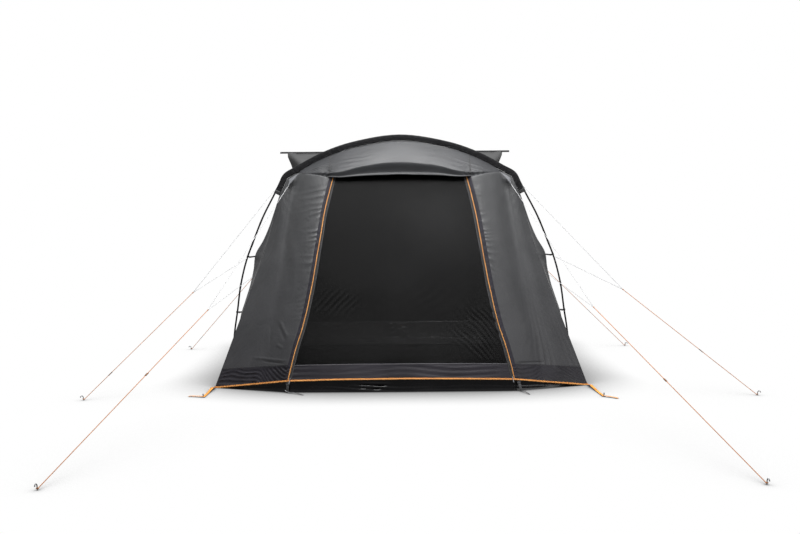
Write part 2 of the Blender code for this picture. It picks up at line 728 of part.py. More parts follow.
# Storm tabs under the sleeve, and the guy lines
for label, side in SIDES.items():
    corners = np.array(TAB)
    grid = np.array([[corners[0], corners[0] * 0.5 + corners[1] * 0.5, corners[1]],
                     [corners[2] + (-0.006, 0, 0.004), corners[2], corners[2] + (0.006, 0, 0.004)]])
    cloth("storm_tab_" + label, mirrored(grid, side), "tab", Vector((0, 1.5, 1.2)), 0.003)

HITCH = CLIP_HEIGHTS["upper"] - 0.018
clip_x = on_arch(HITCH)
sleeve_end = ARCH_POINTS[TOP - 1]


# The room that a pole takes beside the guy lines, from one of its points to its foot.
def pole_room(name, depth, side, first, last, radius):
    return room_round(name, [on_side((x, depth, z), side) for x, z in ARCH_POINTS[first:last]], radius)


for label, side in SIDES.items():
    sleeve = pole_room("sleeve " + label, FRONT_ARCH, side, TOP - 4, TOP + 1, POLE_R + SLEEVE_WALL + GAP)
    front = pole_room("front pole " + label, FRONT_ARCH, side, TOP, None, POLE_R)
    rear = pole_room("rear pole " + label, REAR_ARCH, side, TOP, None, POLE_R)
    patch = (on_seam(PATCH_HEIGHT) - 0.005, FRONT_ARCH - 0.012, PATCH_HEIGHT)
    ends = {"side": [(sleeve_end[0], FRONT_ARCH, sleeve_end[1]), (clip_x, FRONT_ARCH, HITCH)],
            "front": [TAB[2], patch], "rear": [(clip_x, REAR_ARCH, HITCH)]}
    cuts = {"side": [sleeve, front], "front": [grown("storm_tab_" + label), grown("front_wing_" + label)],
            "rear": [rear]}
    for name, tops in ends.items():
        foot, fork = PEGS[name, label], FORKS.get((name, label))
        toward = fork or tops[0]
        make_guy(f"{name}_guy_{label}", on_side(foot, side), [on_side(top, side) for top in tops],
                 on_side(fork, side) if fork else None, SLIDERS[name, label], cuts[name])
        make_peg(f"{name}_guy_peg_{label}", on_side(foot, side),
                 ((foot[0] - toward[0]) * side, foot[1] - toward[1]))

# Webbing and pegs at the corners and beside the door
for label, side in SIDES.items():
    for name in ("front", "rear"):
        spots = [on_side((*spot, WEB_TOP), side) for spot in ANCHORS[name, label]]
        make_anchor(f"{name}_anchor_{label}", *spots, [])
    make_door_peg("door_peg_" + label, *[on_side(spot, side) for spot in DOOR_PEGS[label]])

# The origin is under the middle of the whole, on the ground
bpy.context.view_layer.update()
graph = bpy.context.evaluated_depsgraph_get()
reach = []
for obj in awning.objects:
    shape = obj.evaluated_get(graph).to_mesh()
    reach += [tuple(obj.matrix_world @ vert.co)[:2] for vert in shape.vertices]
middle = (np.min(reach, axis=0) + np.max(reach, axis=0)) / 2
for obj in awning.objects:
    obj.location.x -= middle[0]
    obj.location.y -= middle[1]
print("moved by", -middle)
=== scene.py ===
import bpy
import bmesh
import numpy as np
from math import atan2, cos, pi, radians, sin
from mathutils import Matrix, Vector


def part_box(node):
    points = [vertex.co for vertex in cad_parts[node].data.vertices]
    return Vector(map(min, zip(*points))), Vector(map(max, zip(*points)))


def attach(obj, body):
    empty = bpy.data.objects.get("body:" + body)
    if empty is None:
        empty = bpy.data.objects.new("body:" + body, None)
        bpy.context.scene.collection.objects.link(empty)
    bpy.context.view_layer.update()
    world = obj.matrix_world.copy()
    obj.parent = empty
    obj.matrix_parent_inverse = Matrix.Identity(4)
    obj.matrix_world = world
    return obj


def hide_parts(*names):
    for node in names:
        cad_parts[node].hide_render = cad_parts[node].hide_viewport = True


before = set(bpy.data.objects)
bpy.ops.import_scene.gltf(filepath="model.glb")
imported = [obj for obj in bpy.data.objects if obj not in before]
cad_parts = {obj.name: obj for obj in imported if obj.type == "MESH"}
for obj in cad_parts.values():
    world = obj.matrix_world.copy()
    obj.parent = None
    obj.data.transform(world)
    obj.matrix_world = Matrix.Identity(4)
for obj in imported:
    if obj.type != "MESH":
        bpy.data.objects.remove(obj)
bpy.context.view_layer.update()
scene = bpy.context.scene

# The awning's main lines in metres: x to the right, y back from the front corners, z up.
form = {
    "frontArch": 0.50, "rearArch": 2.50, "rearHem": 2.95, "stripY": 3.62, "stripZ": 2.158,
    "stripHalf": 1.36, "stripDeep": 0.020, "stripX": -0.057, "poleR": 0.006, "sleeveDrop": 0.044, "gap": 0.0003,
    "corner": (1.537, 0.0, 0.0), "sillY": -0.25, "sillZ": 0.1045, "tunnelFoot": (1.15, 2.95, 0.0),
    "clips": {"upper": 1.06, "lower": 0.576},
}
archLine = [(0, 2.097), (0.338, 2.053), (0.479, 2.018), (0.646, 1.958), (0.889, 1.833), (1.007, 1.759),
            (1.043, 1.687), (1.083, 1.607), (1.19, 1.40), (1.283, 1.173), (1.327, 1.06), (1.391, 0.816),
            (1.425, 0.576), (1.449, 0.42), (1.468, 0.12), (1.47, 0.0005)]
legSeamLine = [(1.065, 1.51), (1.10, 1.43), (1.14, 1.31), (1.20, 1.18), (1.266, 1.06), (1.275, 0.97),
               (1.305, 0.83), (1.35, 0.69), (1.39, 0.572), (1.425, 0.35), (1.455, 0.0)]
cornerLine = [(1.14, 0.42, 1.20), (1.27, 0.30, 0.80), (1.40, 0.16, 0.41)]
zipPoints = [(0.567, 0.35, 1.736), (0.632, 0.245, 1.45), (0.676, 0.142, 1.165), (0.735, 0.01, 0.79),
             (0.796, -0.09, 0.506), (0.852, -0.16, 0.321), (0.877, -0.198, 0.215), (0.904, -0.24, 0.092)]
visorPoints = [(0, 0.305, 1.752), (0.30, 0.308, 1.748), (0.60, 0.325, 1.738), (0.75, 0.375, 1.762),
               (0.867, 0.49, 1.781)]
tunnelEnd = [(1.27, 2.146), (1.257, 2.085), (1.222, 2.00), (1.19, 1.84), (1.15, 1.40), (1.16, 0.70), (1.20, 0.0)]
topSteps, turnSteps, legSteps = 10, 6, 12
shoulder = topSteps + turnSteps
sides = {"left": -1, "right": 1}
room, passage = np.array((0, 1.5, 0.8)), np.array((0, 3.25, 0.9))

poleLow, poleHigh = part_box("front_pole")
stripLow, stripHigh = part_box("vehicle_strip")
# the frame's origin lies under the middle of the whole outline
home = np.array((-(poleLow[0] + poleHigh[0]) / 2, form["stripY"] - (stripLow[1] + stripHigh[1]) / 2, 0.0))
print("frame loaded, home at", home.round(4))


# Lines

def unit(v):
    return v / np.maximum(np.linalg.norm(v, axis=-1, keepdims=True), 1e-9)


def fineLine(points, steps=24):
    pts = np.array(points, dtype=float)
    chord = np.r_[0, np.cumsum(np.linalg.norm(np.diff(pts, axis=0), axis=1))]
    slope = np.gradient(pts, chord, axis=0)
    line = []
    for i in range(len(pts) - 1):
        span = chord[i + 1] - chord[i]
        for k in range(steps):
            t = k / steps
            line.append((2 * t**3 - 3 * t**2 + 1) * pts[i] + (t**3 - 2 * t**2 + t) * span * slope[i]
                        + (3 * t**2 - 2 * t**3) * pts[i + 1] + (t**3 - t**2) * span * slope[i + 1])
    line.append(pts[-1])
    return np.array(line)


def resample(line, count):
    run = np.r_[0, np.cumsum(np.linalg.norm(np.diff(line, axis=0), axis=1))]
    at = np.linspace(0, run[-1], count + 1)
    return np.stack([np.interp(at, run, line[:, k]) for k in range(line.shape[1])], axis=1)


# Points on a smooth line: each pair is a control point to stop at and the steps taken to reach it.
def stepsAlong(points, stops, fine=24):
    line, taken, start = fineLine(points, fine), [], 0
    for stop, count in stops:
        part = resample(line[start * fine:stop * fine + 1], count)
        taken.extend(part if not taken else part[1:])
        start = stop
    return np.array(taken)


def mirrored(points, side):
    return np.array(points, dtype=float) * (side, 1, 1)


def bothSides(half):
    return np.vstack([mirrored(half[:0:-1], -1), half])


# One half of the arch, top to foot, with the outward direction at each point.
def halfArch(stops):
    both = [(-x, z) for x, z in archLine[:0:-1]] + archLine
    line = fineLine(both)[(len(archLine) - 1) * 24:]
    taken, start = [], 0
    for stop, count in stops:
        part = resample(line[start * 24:stop * 24 + 1], count)
        taken.extend(part if not taken else part[1:])
        start = stop
    pts = np.array(taken)
    along = np.gradient(pts, axis=0)
    along[0] = (1, 0)
    return pts, unit(np.c_[-along[:, 1], along[:, 0]])


archPoints, archOut = halfArch(((4, topSteps), (7, turnSteps), (15, legSteps)))


def seamTop(depth):
    pts = archPoints[:shoulder + 1] - form["sleeveDrop"] * archOut[:shoulder + 1]
    return np.c_[pts[:, 0], np.full(len(pts), depth), pts[:, 1]]


def seamLeg(depth):
    start = seamTop(depth)[-1]
    flat = stepsAlong([(start[0], start[2])] + legSeamLine, ((len(legSeamLine), legSteps),))
    return np.c_[flat[:, 0], np.full(len(flat), depth), flat[:, 1]]


# A patch filled in between four edges: top and bottom run the same way, as do left and right.
def coons(top, bottom, left, right):
    u = np.linspace(0, 1, len(top))[None, :, None]
    v = np.linspace(0, 1, len(left))[:, None, None]
    across = (1 - v) * top[None] + v * bottom[None]
    down = (1 - u) * left[:, None] + u * right[:, None]
    corners = ((1 - u) * (1 - v) * top[0] + u * (1 - v) * top[-1]
               + (1 - u) * v * bottom[0] + u * v * bottom[-1])
    return across + down - corners


def ruled(first, last, count):
    t = np.linspace(0, 1, count + 1)[:, None, None]
    return (1 - t) * first[None] + t * last[None]


def cubicWeights(t):
    return ((-t**3 + 2 * t**2 - t) / 2, (3 * t**3 - 5 * t**2 + 2) / 2,
            (-3 * t**3 + 4 * t**2 + t) / 2, (t**3 - t**2) / 2)


# A smooth surface through a grid of points, read at any row v and column u.
def surfaceAt(grid, v, u):
    v, u = np.broadcast_arrays(np.asarray(v, float), np.asarray(u, float))
    g = np.concatenate([2 * grid[:1] - grid[1:2], grid, 2 * grid[-1:] - grid[-2:-1]])
    g = np.concatenate([2 * g[:, :1] - g[:, 1:2], g, 2 * g[:, -1:] - g[:, -2:-1]], axis=1)
    vi = np.clip(np.floor(v).astype(int), 0, grid.shape[0] - 2)
    ui = np.clip(np.floor(u).astype(int), 0, grid.shape[1] - 2)
    wv, wu = cubicWeights(v - vi), cubicWeights(u - ui)
    return sum((wv[a] * wu[b])[..., None] * g[vi + a, ui + b] for a in range(4) for b in range(4))


def denser(grid, rows, cols):
    return surfaceAt(grid, np.linspace(0, grid.shape[0] - 1, rows + 1)[:, None],
                     np.linspace(0, grid.shape[1] - 1, cols + 1)[None])


# The same, with one row of points laid along the top of the mud band.
def bandedRows(grid, above, below, cols, bandTop):
    last = grid.shape[0] - 1
    u = np.linspace(0, grid.shape[1] - 1, cols + 1)
    fine = np.linspace(0, last, 400)
    z = surfaceAt(grid, fine[:, None], u[None])[..., 2]
    wanted = np.interp(u, (0, u[-1]), bandTop)
    band = np.array([np.interp(-wanted[c], -z[:, c], fine) for c in range(cols + 1)])
    v = np.vstack([np.linspace(0, 1, above + 1)[:, None] * band,
                   band + np.linspace(0, 1, below + 1)[1:, None] * (last - band)])
    return surfaceAt(grid, v, np.broadcast_to(u, v.shape))


# Fabric relief

def ease(x, low, high):
    t = np.clip((x - low) / (high - low), 0, 1)
    return t * t * (3 - 2 * t)


# A smooth random field between -1 and 1, the same each run.
def cloud(x, y, size, seed):
    table = np.random.RandomState(seed).rand(64, 64) * 2 - 1
    x, y = np.broadcast_arrays(x / size, y / size)
    xi, yi = np.floor(x).astype(int), np.floor(y).astype(int)
    tx, ty = ease(x - xi, 0, 1), ease(y - yi, 0, 1)
    corner = [table[(yi + b) % 64, (xi + a) % 64] for b in (0, 1) for a in (0, 1)]
    return ((corner[0] * (1 - tx) + corner[1] * tx) * (1 - ty) + (corner[2] * (1 - tx) + corner[3] * tx) * ty)


def wave(turns):
    return np.sin(2 * pi * turns)


# Narrow ridges with broad flats between them.
def ridges(turns, sharp=2.5):
    return (0.5 + 0.5 * np.cos(2 * pi * turns)) ** sharp - 0.3


# A single fold along a straight line from p to q, soft at both ends.
def foldAlong(x, y, p, q, width):
    p, q = np.array(p), np.array(q)
    length = np.linalg.norm(q - p)
    axis = (q - p) / length
    along = ((x - p[0]) * axis[0] + (y - p[1]) * axis[1]) / length
    off = (x - p[0]) * axis[1] - (y - p[1]) * axis[0]
    return np.exp(-(off / width) ** 2) * ease(along, -0.15, 0.2) * (1 - ease(along, 0.8, 1.15))


# A crease profile: narrow crests and broad hollows.
def crests(turns):
    return 1 - 2 * np.abs(np.sin(pi * turns)) ** 0.8


# Lengths across and down a grid, in metres.
def spans(points):
    across = np.zeros(points.shape[:2])
    down = np.zeros(points.shape[:2])
    across[:, 1:] = np.cumsum(np.linalg.norm(np.diff(points, axis=1), axis=2), axis=1)
    down[1:] = np.cumsum(np.linalg.norm(np.diff(points, axis=0), axis=2), axis=0)
    return across, down


def outwardNormals(points, inside):
    normal = unit(np.cross(np.gradient(points, axis=1), np.gradient(points, axis=0)))
    if np.sum(normal * (points - inside)) < 0:
        normal = -normal
    return normal


def pushed(points, height, inside=room):
    return points + outwardNormals(points, inside) * height[..., None]


# Meshes

# A grid of points as faces with its lengths as UV, closed into a tube where wrap is set.
def patch(points, look=0, wrap=False, uv=None):
    rows, cols = points.shape[:2]
    if uv is None:
        ring = np.concatenate([points, points[:, :1]], axis=1) if wrap else points
        across, down = spans(ring)
        uv = np.stack([across - (0 if wrap else across[:, -1:] / 2), down], axis=-1)
    r, c = np.meshgrid(np.arange(rows - 1), np.arange(cols if wrap else cols - 1), indexing="ij")
    r, c = r.ravel(), c.ravel()
    d = (c + 1) % cols
    faces = np.stack([r * cols + c, (r + 1) * cols + c, (r + 1) * cols + d, r * cols + d], axis=1)
    loops = np.stack([uv[r, c], uv[r + 1, c], uv[r + 1, c + 1], uv[r, c + 1]], axis=1)
    return {"points": points.reshape(-1, 3), "faces": faces.tolist(), "uv": loops.reshape(-1, 2),
            "look": np.broadcast_to(np.asarray(look), (rows - 1, cols if wrap else cols - 1)).ravel().tolist()}


def circle(radius, count=10):
    turn = np.arange(count) * 2 * pi / count
    return np.c_[np.cos(turn), np.sin(turn)] * radius


# The outline of a flat strap or bar with rounded edges.
def strap(width, thick, steps=2):
    r = min(thick, width) * 0.45
    outline = []
    for cx, cy, start in ((1, 1, 0), (-1, 1, 1), (-1, -1, 2), (1, -1, 3)):
        for k in range(steps + 1):
            a = (start + k / steps) * pi / 2
            outline.append((cx * (width / 2 - r) + r * cos(a), cy * (thick / 2 - r) + r * sin(a)))
    return np.array(outline)


# A section drawn along a path. up is the direction of the section's second axis, or None to follow the path freely.
def sweep(path, section, look=0, up=None, scale=None, loop=False):
    path = np.array(path, dtype=float)
    if loop:
        along = unit(np.roll(path, -1, axis=0) - np.roll(path, 1, axis=0))
    else:
        along = unit(np.gradient(path, axis=0))
    if up is None:
        side = np.zeros_like(path)
        start = np.cross(along[0], (0, 0, 1)) if abs(along[0][2]) < 0.9 else np.cross(along[0], (0, 1, 0))
        side[0] = unit(start)
        for k in range(1, len(path)):
            side[k] = unit(side[k - 1] - along[k] * np.dot(side[k - 1], along[k]))
    else:
        side = unit(np.cross(along, np.broadcast_to(up, path.shape)))
    over = np.cross(side, along)
    size = np.ones(len(path)) if scale is None else np.asarray(scale, float)
    section = np.asarray(section)
    outline = section if section.ndim == 3 else np.broadcast_to(section, (len(path), *section.shape))
    points = (path[:, None] + side[:, None] * outline[..., :1] * size[:, None, None]
              + over[:, None] * outline[..., 1:] * size[:, None, None])
    if loop:
        points = np.concatenate([points, points[:1]])
    made = patch(points, look, wrap=True)
    if not loop:
        count, total = points.shape[1], points.shape[0] * points.shape[1]
        for first in (0, total - count):
            made["faces"].append(list(range(first, first + count)))
            made["uv"] = np.vstack([made["uv"], outline[0 if first == 0 else -1]])
            made["look"].append(look)
    return made


# A ball or bead, flattened where sizes differ.
def bead(center, sizes, look=0, turn=None, around=12, rings=7):
    turn = np.eye(3) if turn is None else np.array(turn)
    tilt = np.linspace(0.02, pi - 0.02, rings)[:, None]
    spin = np.arange(around)[None] * 2 * pi / around
    ball = np.stack([np.sin(tilt) * np.cos(spin), np.sin(tilt) * np.sin(spin), np.cos(tilt) * np.ones_like(spin)], axis=-1)
    points = (ball * np.broadcast_to(sizes, 3)) @ turn.T + np.array(center, dtype=float)
    made = patch(points, look, wrap=True)
    last = points.shape[0] * points.shape[1]
    for first in (0, last - around):
        made["faces"].append(list(range(first, first + around)))
        made["uv"] = np.vstack([made["uv"], ball[0, :, :2] * 0.01])
        made["look"].append(look)
    return made


def build(name, parts, looks, smooth=40, inside=None, merge=True):
    faces, points, uv, index, start = [], [], [], [], 0
    for part in parts:
        faces += [[k + start for k in face] for face in part["faces"]]
        points.append(part["points"])
        uv.append(part["uv"])
        index += part["look"]
        start += len(part["points"])
    points = np.vstack(points)
    points = points - home
    mesh = bpy.data.meshes.new(name)
    mesh.from_pydata(points.tolist(), [], faces)
    for look in looks:
        mesh.materials.append(look)
    mesh.polygons.foreach_set("material_index", index)
    layer = mesh.uv_layers.new(name="cloth")
    layer.data.foreach_set("uv", np.vstack(uv).astype(np.float32).ravel())
    work = bmesh.new()
    work.from_mesh(mesh)
    if merge:
        bmesh.ops.remove_doubles(work, verts=work.verts, dist=0.00002)
        bmesh.ops.recalc_face_normals(work, faces=work.faces)
    elif inside is not None:
        middle = Vector(np.array(inside) - home)
        lean = sum(face.normal.dot(face.calc_center_median() - middle) * face.calc_area() for face in work.faces)
        if lean < 0:
            bmesh.ops.reverse_faces(work, faces=work.faces)
    work.to_mesh(mesh)
    work.free()
    mesh.shade_smooth()
    mesh.set_sharp_from_angle(angle=radians(smooth))
    obj = bpy.data.objects.new(name, mesh)
    scene.collection.objects.link(obj)
    return obj


def carry(obj, nodes=()):
    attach(obj, "root")
    if nodes:
        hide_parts(*nodes)
    return obj


flatSizes = {}


# A sheet of cloth from a grid of points on its outer face. The plain grid gives the size that it is cut to.
def clothPiece(name, grid, looks, nodes, plain, inside=room, look=0,
               wall=0.0014, smooth=60):
    grid = grid.copy()
    grid[..., 2] = np.maximum(grid[..., 2], wall * 1.05)
    obj = build(name, [patch(grid, look)], looks, smooth, inside=inside, merge=False)
    thick = obj.modifiers.new("wall", "SOLIDIFY")
    thick.thickness = wall
    thick.offset = -1
    carry(obj, nodes)
    across, down = spans(plain)
    step = np.cross(plain[1:, 1:] - plain[:-1, :-1], plain[1:, :-1] - plain[:-1, 1:])
    area = float(np.linalg.norm(step, axis=2).sum() / 2)
    width, length = float(across[:, -1].max()), float(down[-1].max())
    flat = (round(width, 3), round(length, 3))
    area = round(float(np.clip(area, 0.31 * flat[0] * flat[1], flat[0] * flat[1])), 4)
    flatSizes[name] = (*flat, area)
    return obj


# Repeats along lines, made by Geometry Nodes

def rowTree():
    tree = bpy.data.node_groups.new("rowAlongSeam", "GeometryNodeTree")
    face = tree.interface
    face.new_socket(name="Seam", in_out="INPUT", socket_type="NodeSocketGeometry")
    for label, value in (("Pitch", 0.006), ("Length", 0.004), ("Radius", 0.0006)):
        face.new_socket(name=label, in_out="INPUT", socket_type="NodeSocketFloat").default_value = value
    face.new_socket(name="Sides", in_out="INPUT", socket_type="NodeSocketInt").default_value = 6
    face.new_socket(name="Finish", in_out="INPUT", socket_type="NodeSocketMaterial")
    face.new_socket(name="Row", in_out="OUTPUT", socket_type="NodeSocketGeometry")
    kinds = {"start": "NodeGroupInput", "curve": "GeometryNodeMeshToCurve", "even": "GeometryNodeResampleCurve",
             "one": "GeometryNodeMeshCylinder", "tangent": "GeometryNodeInputTangent",
             "turn": "FunctionNodeAlignRotationToVector", "set": "GeometryNodeInstanceOnPoints",
             "real": "GeometryNodeRealizeInstances", "finish": "GeometryNodeSetMaterial", "end": "NodeGroupOutput"}
    part = {label: tree.nodes.new(kind) for label, kind in kinds.items()}
    part["even"].mode = "LENGTH"
    part["turn"].axis = "Z"
    for a, out, b, into in (("start", "Seam", "curve", "Mesh"), ("curve", "Curve", "even", "Curve"),
                            ("start", "Pitch", "even", "Length"), ("even", "Curve", "set", "Points"),
                            ("start", "Sides", "one", "Vertices"), ("start", "Radius", "one", "Radius"),
                            ("start", "Length", "one", "Depth"), ("one", "Mesh", "set", "Instance"),
                            ("tangent", "Tangent", "turn", "Vector"), ("turn", "Rotation", "set", "Rotation"),
                            ("set", "Instances", "real", "Geometry"), ("real", "Geometry", "finish", "Geometry"),
                            ("start", "Finish", "finish", "Material"), ("finish", "Geometry", "end", "Row")):
        tree.links.new(part[a].outputs[out], part[b].inputs[into])
    return tree


def rowAlong(name, lines, settings, look):
    points, edges = [], []
    for line in lines:
        first = len(points)
        points += [(x, y, max(z, settings["Length"] / 2 + 0.0003)) for x, y, z in np.asarray(line) - home]
        edges += [(k, k + 1) for k in range(first, len(points) - 1)]
    mesh = bpy.data.meshes.new(name + "_line")
    mesh.from_pydata(points, edges, [])
    line = bpy.data.objects.new(name + "_line", mesh)
    scene.collection.objects.link(line)
    step = line.modifiers.new("row", "NODES")
    step.node_group = seamRow
    sockets = {item.name: item.identifier for item in seamRow.interface.items_tree if item.in_out == "INPUT"}
    for label, value in settings.items():
        step[sockets[label]] = value
    step[sockets["Finish"]] = look
    bpy.context.view_layer.update()
    made = bpy.data.meshes.new_from_object(line.evaluated_get(bpy.context.evaluated_depsgraph_get()))
    line.modifiers.remove(step)
    bpy.data.objects.remove(line, do_unlink=True)
    made.name = name
    if not made.materials:
        made.materials.append(look)
    obj = bpy.data.objects.new(name, made)
    scene.collection.objects.link(obj)
    return carry(obj)


seamRow = rowTree()
stitchSize = {"Pitch": 0.0062, "Length": 0.0042, "Radius": 0.0006, "Sides": 5}
zipSize = {"Pitch": 0.0034, "Length": 0.0018, "Radius": 0.0026, "Sides": 6}


# Materials

def effect(name, inputs, outputs):
    group = bpy.data.node_groups.new(name, "ShaderNodeTree")
    for label, kind, value in inputs:
        made = group.interface.new_socket(name=label, in_out="INPUT", socket_type="NodeSocket" + kind)
        if value is not None:
            made.default_value = value
    for label, kind in outputs:
        group.interface.new_socket(name=label, in_out="OUTPUT", socket_type="NodeSocket" + kind)
    start, end = group.nodes.new("NodeGroupInput"), group.nodes.new("NodeGroupOutput")

    def add(kind, **values):
        made = group.nodes.new(kind)
        for label, value in values.items():
            if hasattr(made, label):
                setattr(made, label, value)
            else:
                made.inputs[label].default_value = value
        return made

    def join(a, out, b, into):
        group.links.new(a.outputs[out], b.inputs[into])
    return group, start, end, add, join


# A plain weave seen as raised crossings, from lengths in metres.
def weaveEffect():
    group, start, end, add, join = effect("plainWeave", [("Lengths", "Vector", None), ("Threads", "Float", 900.0)],
                                          [("Height", "Float")])
    size, split = add("ShaderNodeVectorMath", operation="SCALE"), add("ShaderNodeSeparateXYZ")
    one, two = add("ShaderNodeMath", operation="SINE"), add("ShaderNodeMath", operation="SINE")
    both, lift = add("ShaderNodeMath", operation="MULTIPLY"), add("ShaderNodeMath", operation="MULTIPLY_ADD")
    join(start, "Lengths", size, "Vector")
    group.links.new(start.outputs["Threads"], size.inputs["Scale"])
    join(size, "Vector", split, "Vector")
    join(split, "X", one, 0)
    join(split, "Y", two, 0)
    join(one, 0, both, 0)
    group.links.new(two.outputs[0], both.inputs[1])
    join(both, 0, lift, 0)
    lift.inputs[1].default_value = 0.5
    lift.inputs[2].default_value = 0.5
    join(lift, 0, end, "Height")
    return group


# Two tones that drift into each other in soft patches with a finer mottle.
def toneEffect():
    group, start, end, add, join = effect(
        "toneDrift", [("Place", "Vector", None), ("Scale", "Float", 2.0), ("First", "Color", (0.05, 0.05, 0.05, 1)),
                      ("Second", "Color", (0.08, 0.08, 0.08, 1))], [("Color", "Color"), ("Fac", "Float")])
    broad = add("ShaderNodeTexNoise", Detail=4.0, Roughness=0.6)
    mix = add("ShaderNodeMix", data_type="RGBA")
    ramp = add("ShaderNodeMapRange")
    ramp.inputs["From Min"].default_value = 0.32
    ramp.inputs["From Max"].default_value = 0.68
    join(start, "Place", broad, "Vector")
    join(start, "Scale", broad, "Scale")
    join(broad, "Fac", ramp, "Value")
    group.links.new(ramp.outputs["Result"], mix.inputs[0])
    group.links.new(start.outputs["First"], mix.inputs[6])
    group.links.new(start.outputs["Second"], mix.inputs[7])
    group.links.new(mix.outputs[2], end.inputs["Color"])
    join(ramp, "Result", end, "Fac")
    return group


# Small creases that the mesh is too coarse for.
def creaseEffect():
    group, start, end, add, join = effect(
        "fineCreases", [("Place", "Vector", None), ("Scale", "Float", 18.0), ("Stretch", "Vector", (1, 1, 1))],
        [("Height", "Float")])
    long = add("ShaderNodeVectorMath", operation="MULTIPLY")
    noise = add("ShaderNodeTexNoise", Detail=5.0, Roughness=0.55)
    noise.inputs["Distortion"].default_value = 0.6
    middle, fold = add("ShaderNodeMath", operation="SUBTRACT"), add("ShaderNodeMath", operation="ABSOLUTE")
    group.links.new(start.outputs["Place"], long.inputs[0])
    group.links.new(start.outputs["Stretch"], long.inputs[1])
    join(long, "Vector", noise, "Vector")
    join(start, "Scale", noise, "Scale")
    join(noise, "Fac", middle, 0)
    middle.inputs[1].default_value = 0.5
    join(middle, 0, fold, 0)
    join(fold, 0, end, "Height")
    return group


# Dust that settles towards the ground, strongest in patches.
def dustEffect():
    group, start, end, add, join = effect("groundDust", [("Place", "Vector", None), ("Reach", "Float", 0.25)],
                                          [("Mask", "Float")])
    split, rise = add("ShaderNodeSeparateXYZ"), add("ShaderNodeMapRange")
    rise.inputs["To Min"].default_value = 1.0
    rise.inputs["To Max"].default_value = 0.0
    patchy = add("ShaderNodeTexNoise", Scale=7.0, Detail=6.0)
    both = add("ShaderNodeMath", operation="MULTIPLY")
    join(start, "Place", split, "Vector")
    join(split, "Z", rise, "Value")
    group.links.new(start.outputs["Reach"], rise.inputs["From Max"])
    join(start, "Place", patchy, "Vector")
    join(rise, "Result", both, 0)
    group.links.new(patchy.outputs["Fac"], both.inputs[1])
    join(both, 0, end, "Mask")
    return group


# Painted shade: a mask that darkens and cools the cloth's colour towards the ground, full below Low and gone above
# High.
def paintedLowShadeEffect():
    group, start, end, add, join = effect("paintedLowShade", [("Place", "Vector", None), ("Low", "Float", 0.1),
                                                       ("High", "Float", 1.7)], [("Mask", "Float")])
    split, rise = add("ShaderNodeSeparateXYZ"), add("ShaderNodeMapRange")
    rise.inputs["To Min"].default_value = 1.0
    rise.inputs["To Max"].default_value = 0.0
    join(start, "Place", split, "Vector")
    join(split, "Z", rise, "Value")
    group.links.new(start.outputs["Low"], rise.inputs["From Min"])
    group.links.new(start.outputs["High"], rise.inputs["From Max"])
    join(rise, "Result", end, "Mask")
    return group


plainWeave, toneDrift, fineCreases, groundDust = weaveEffect(), toneEffect(), creaseEffect(), dustEffect()
paintedLowShade = paintedLowShadeEffect()
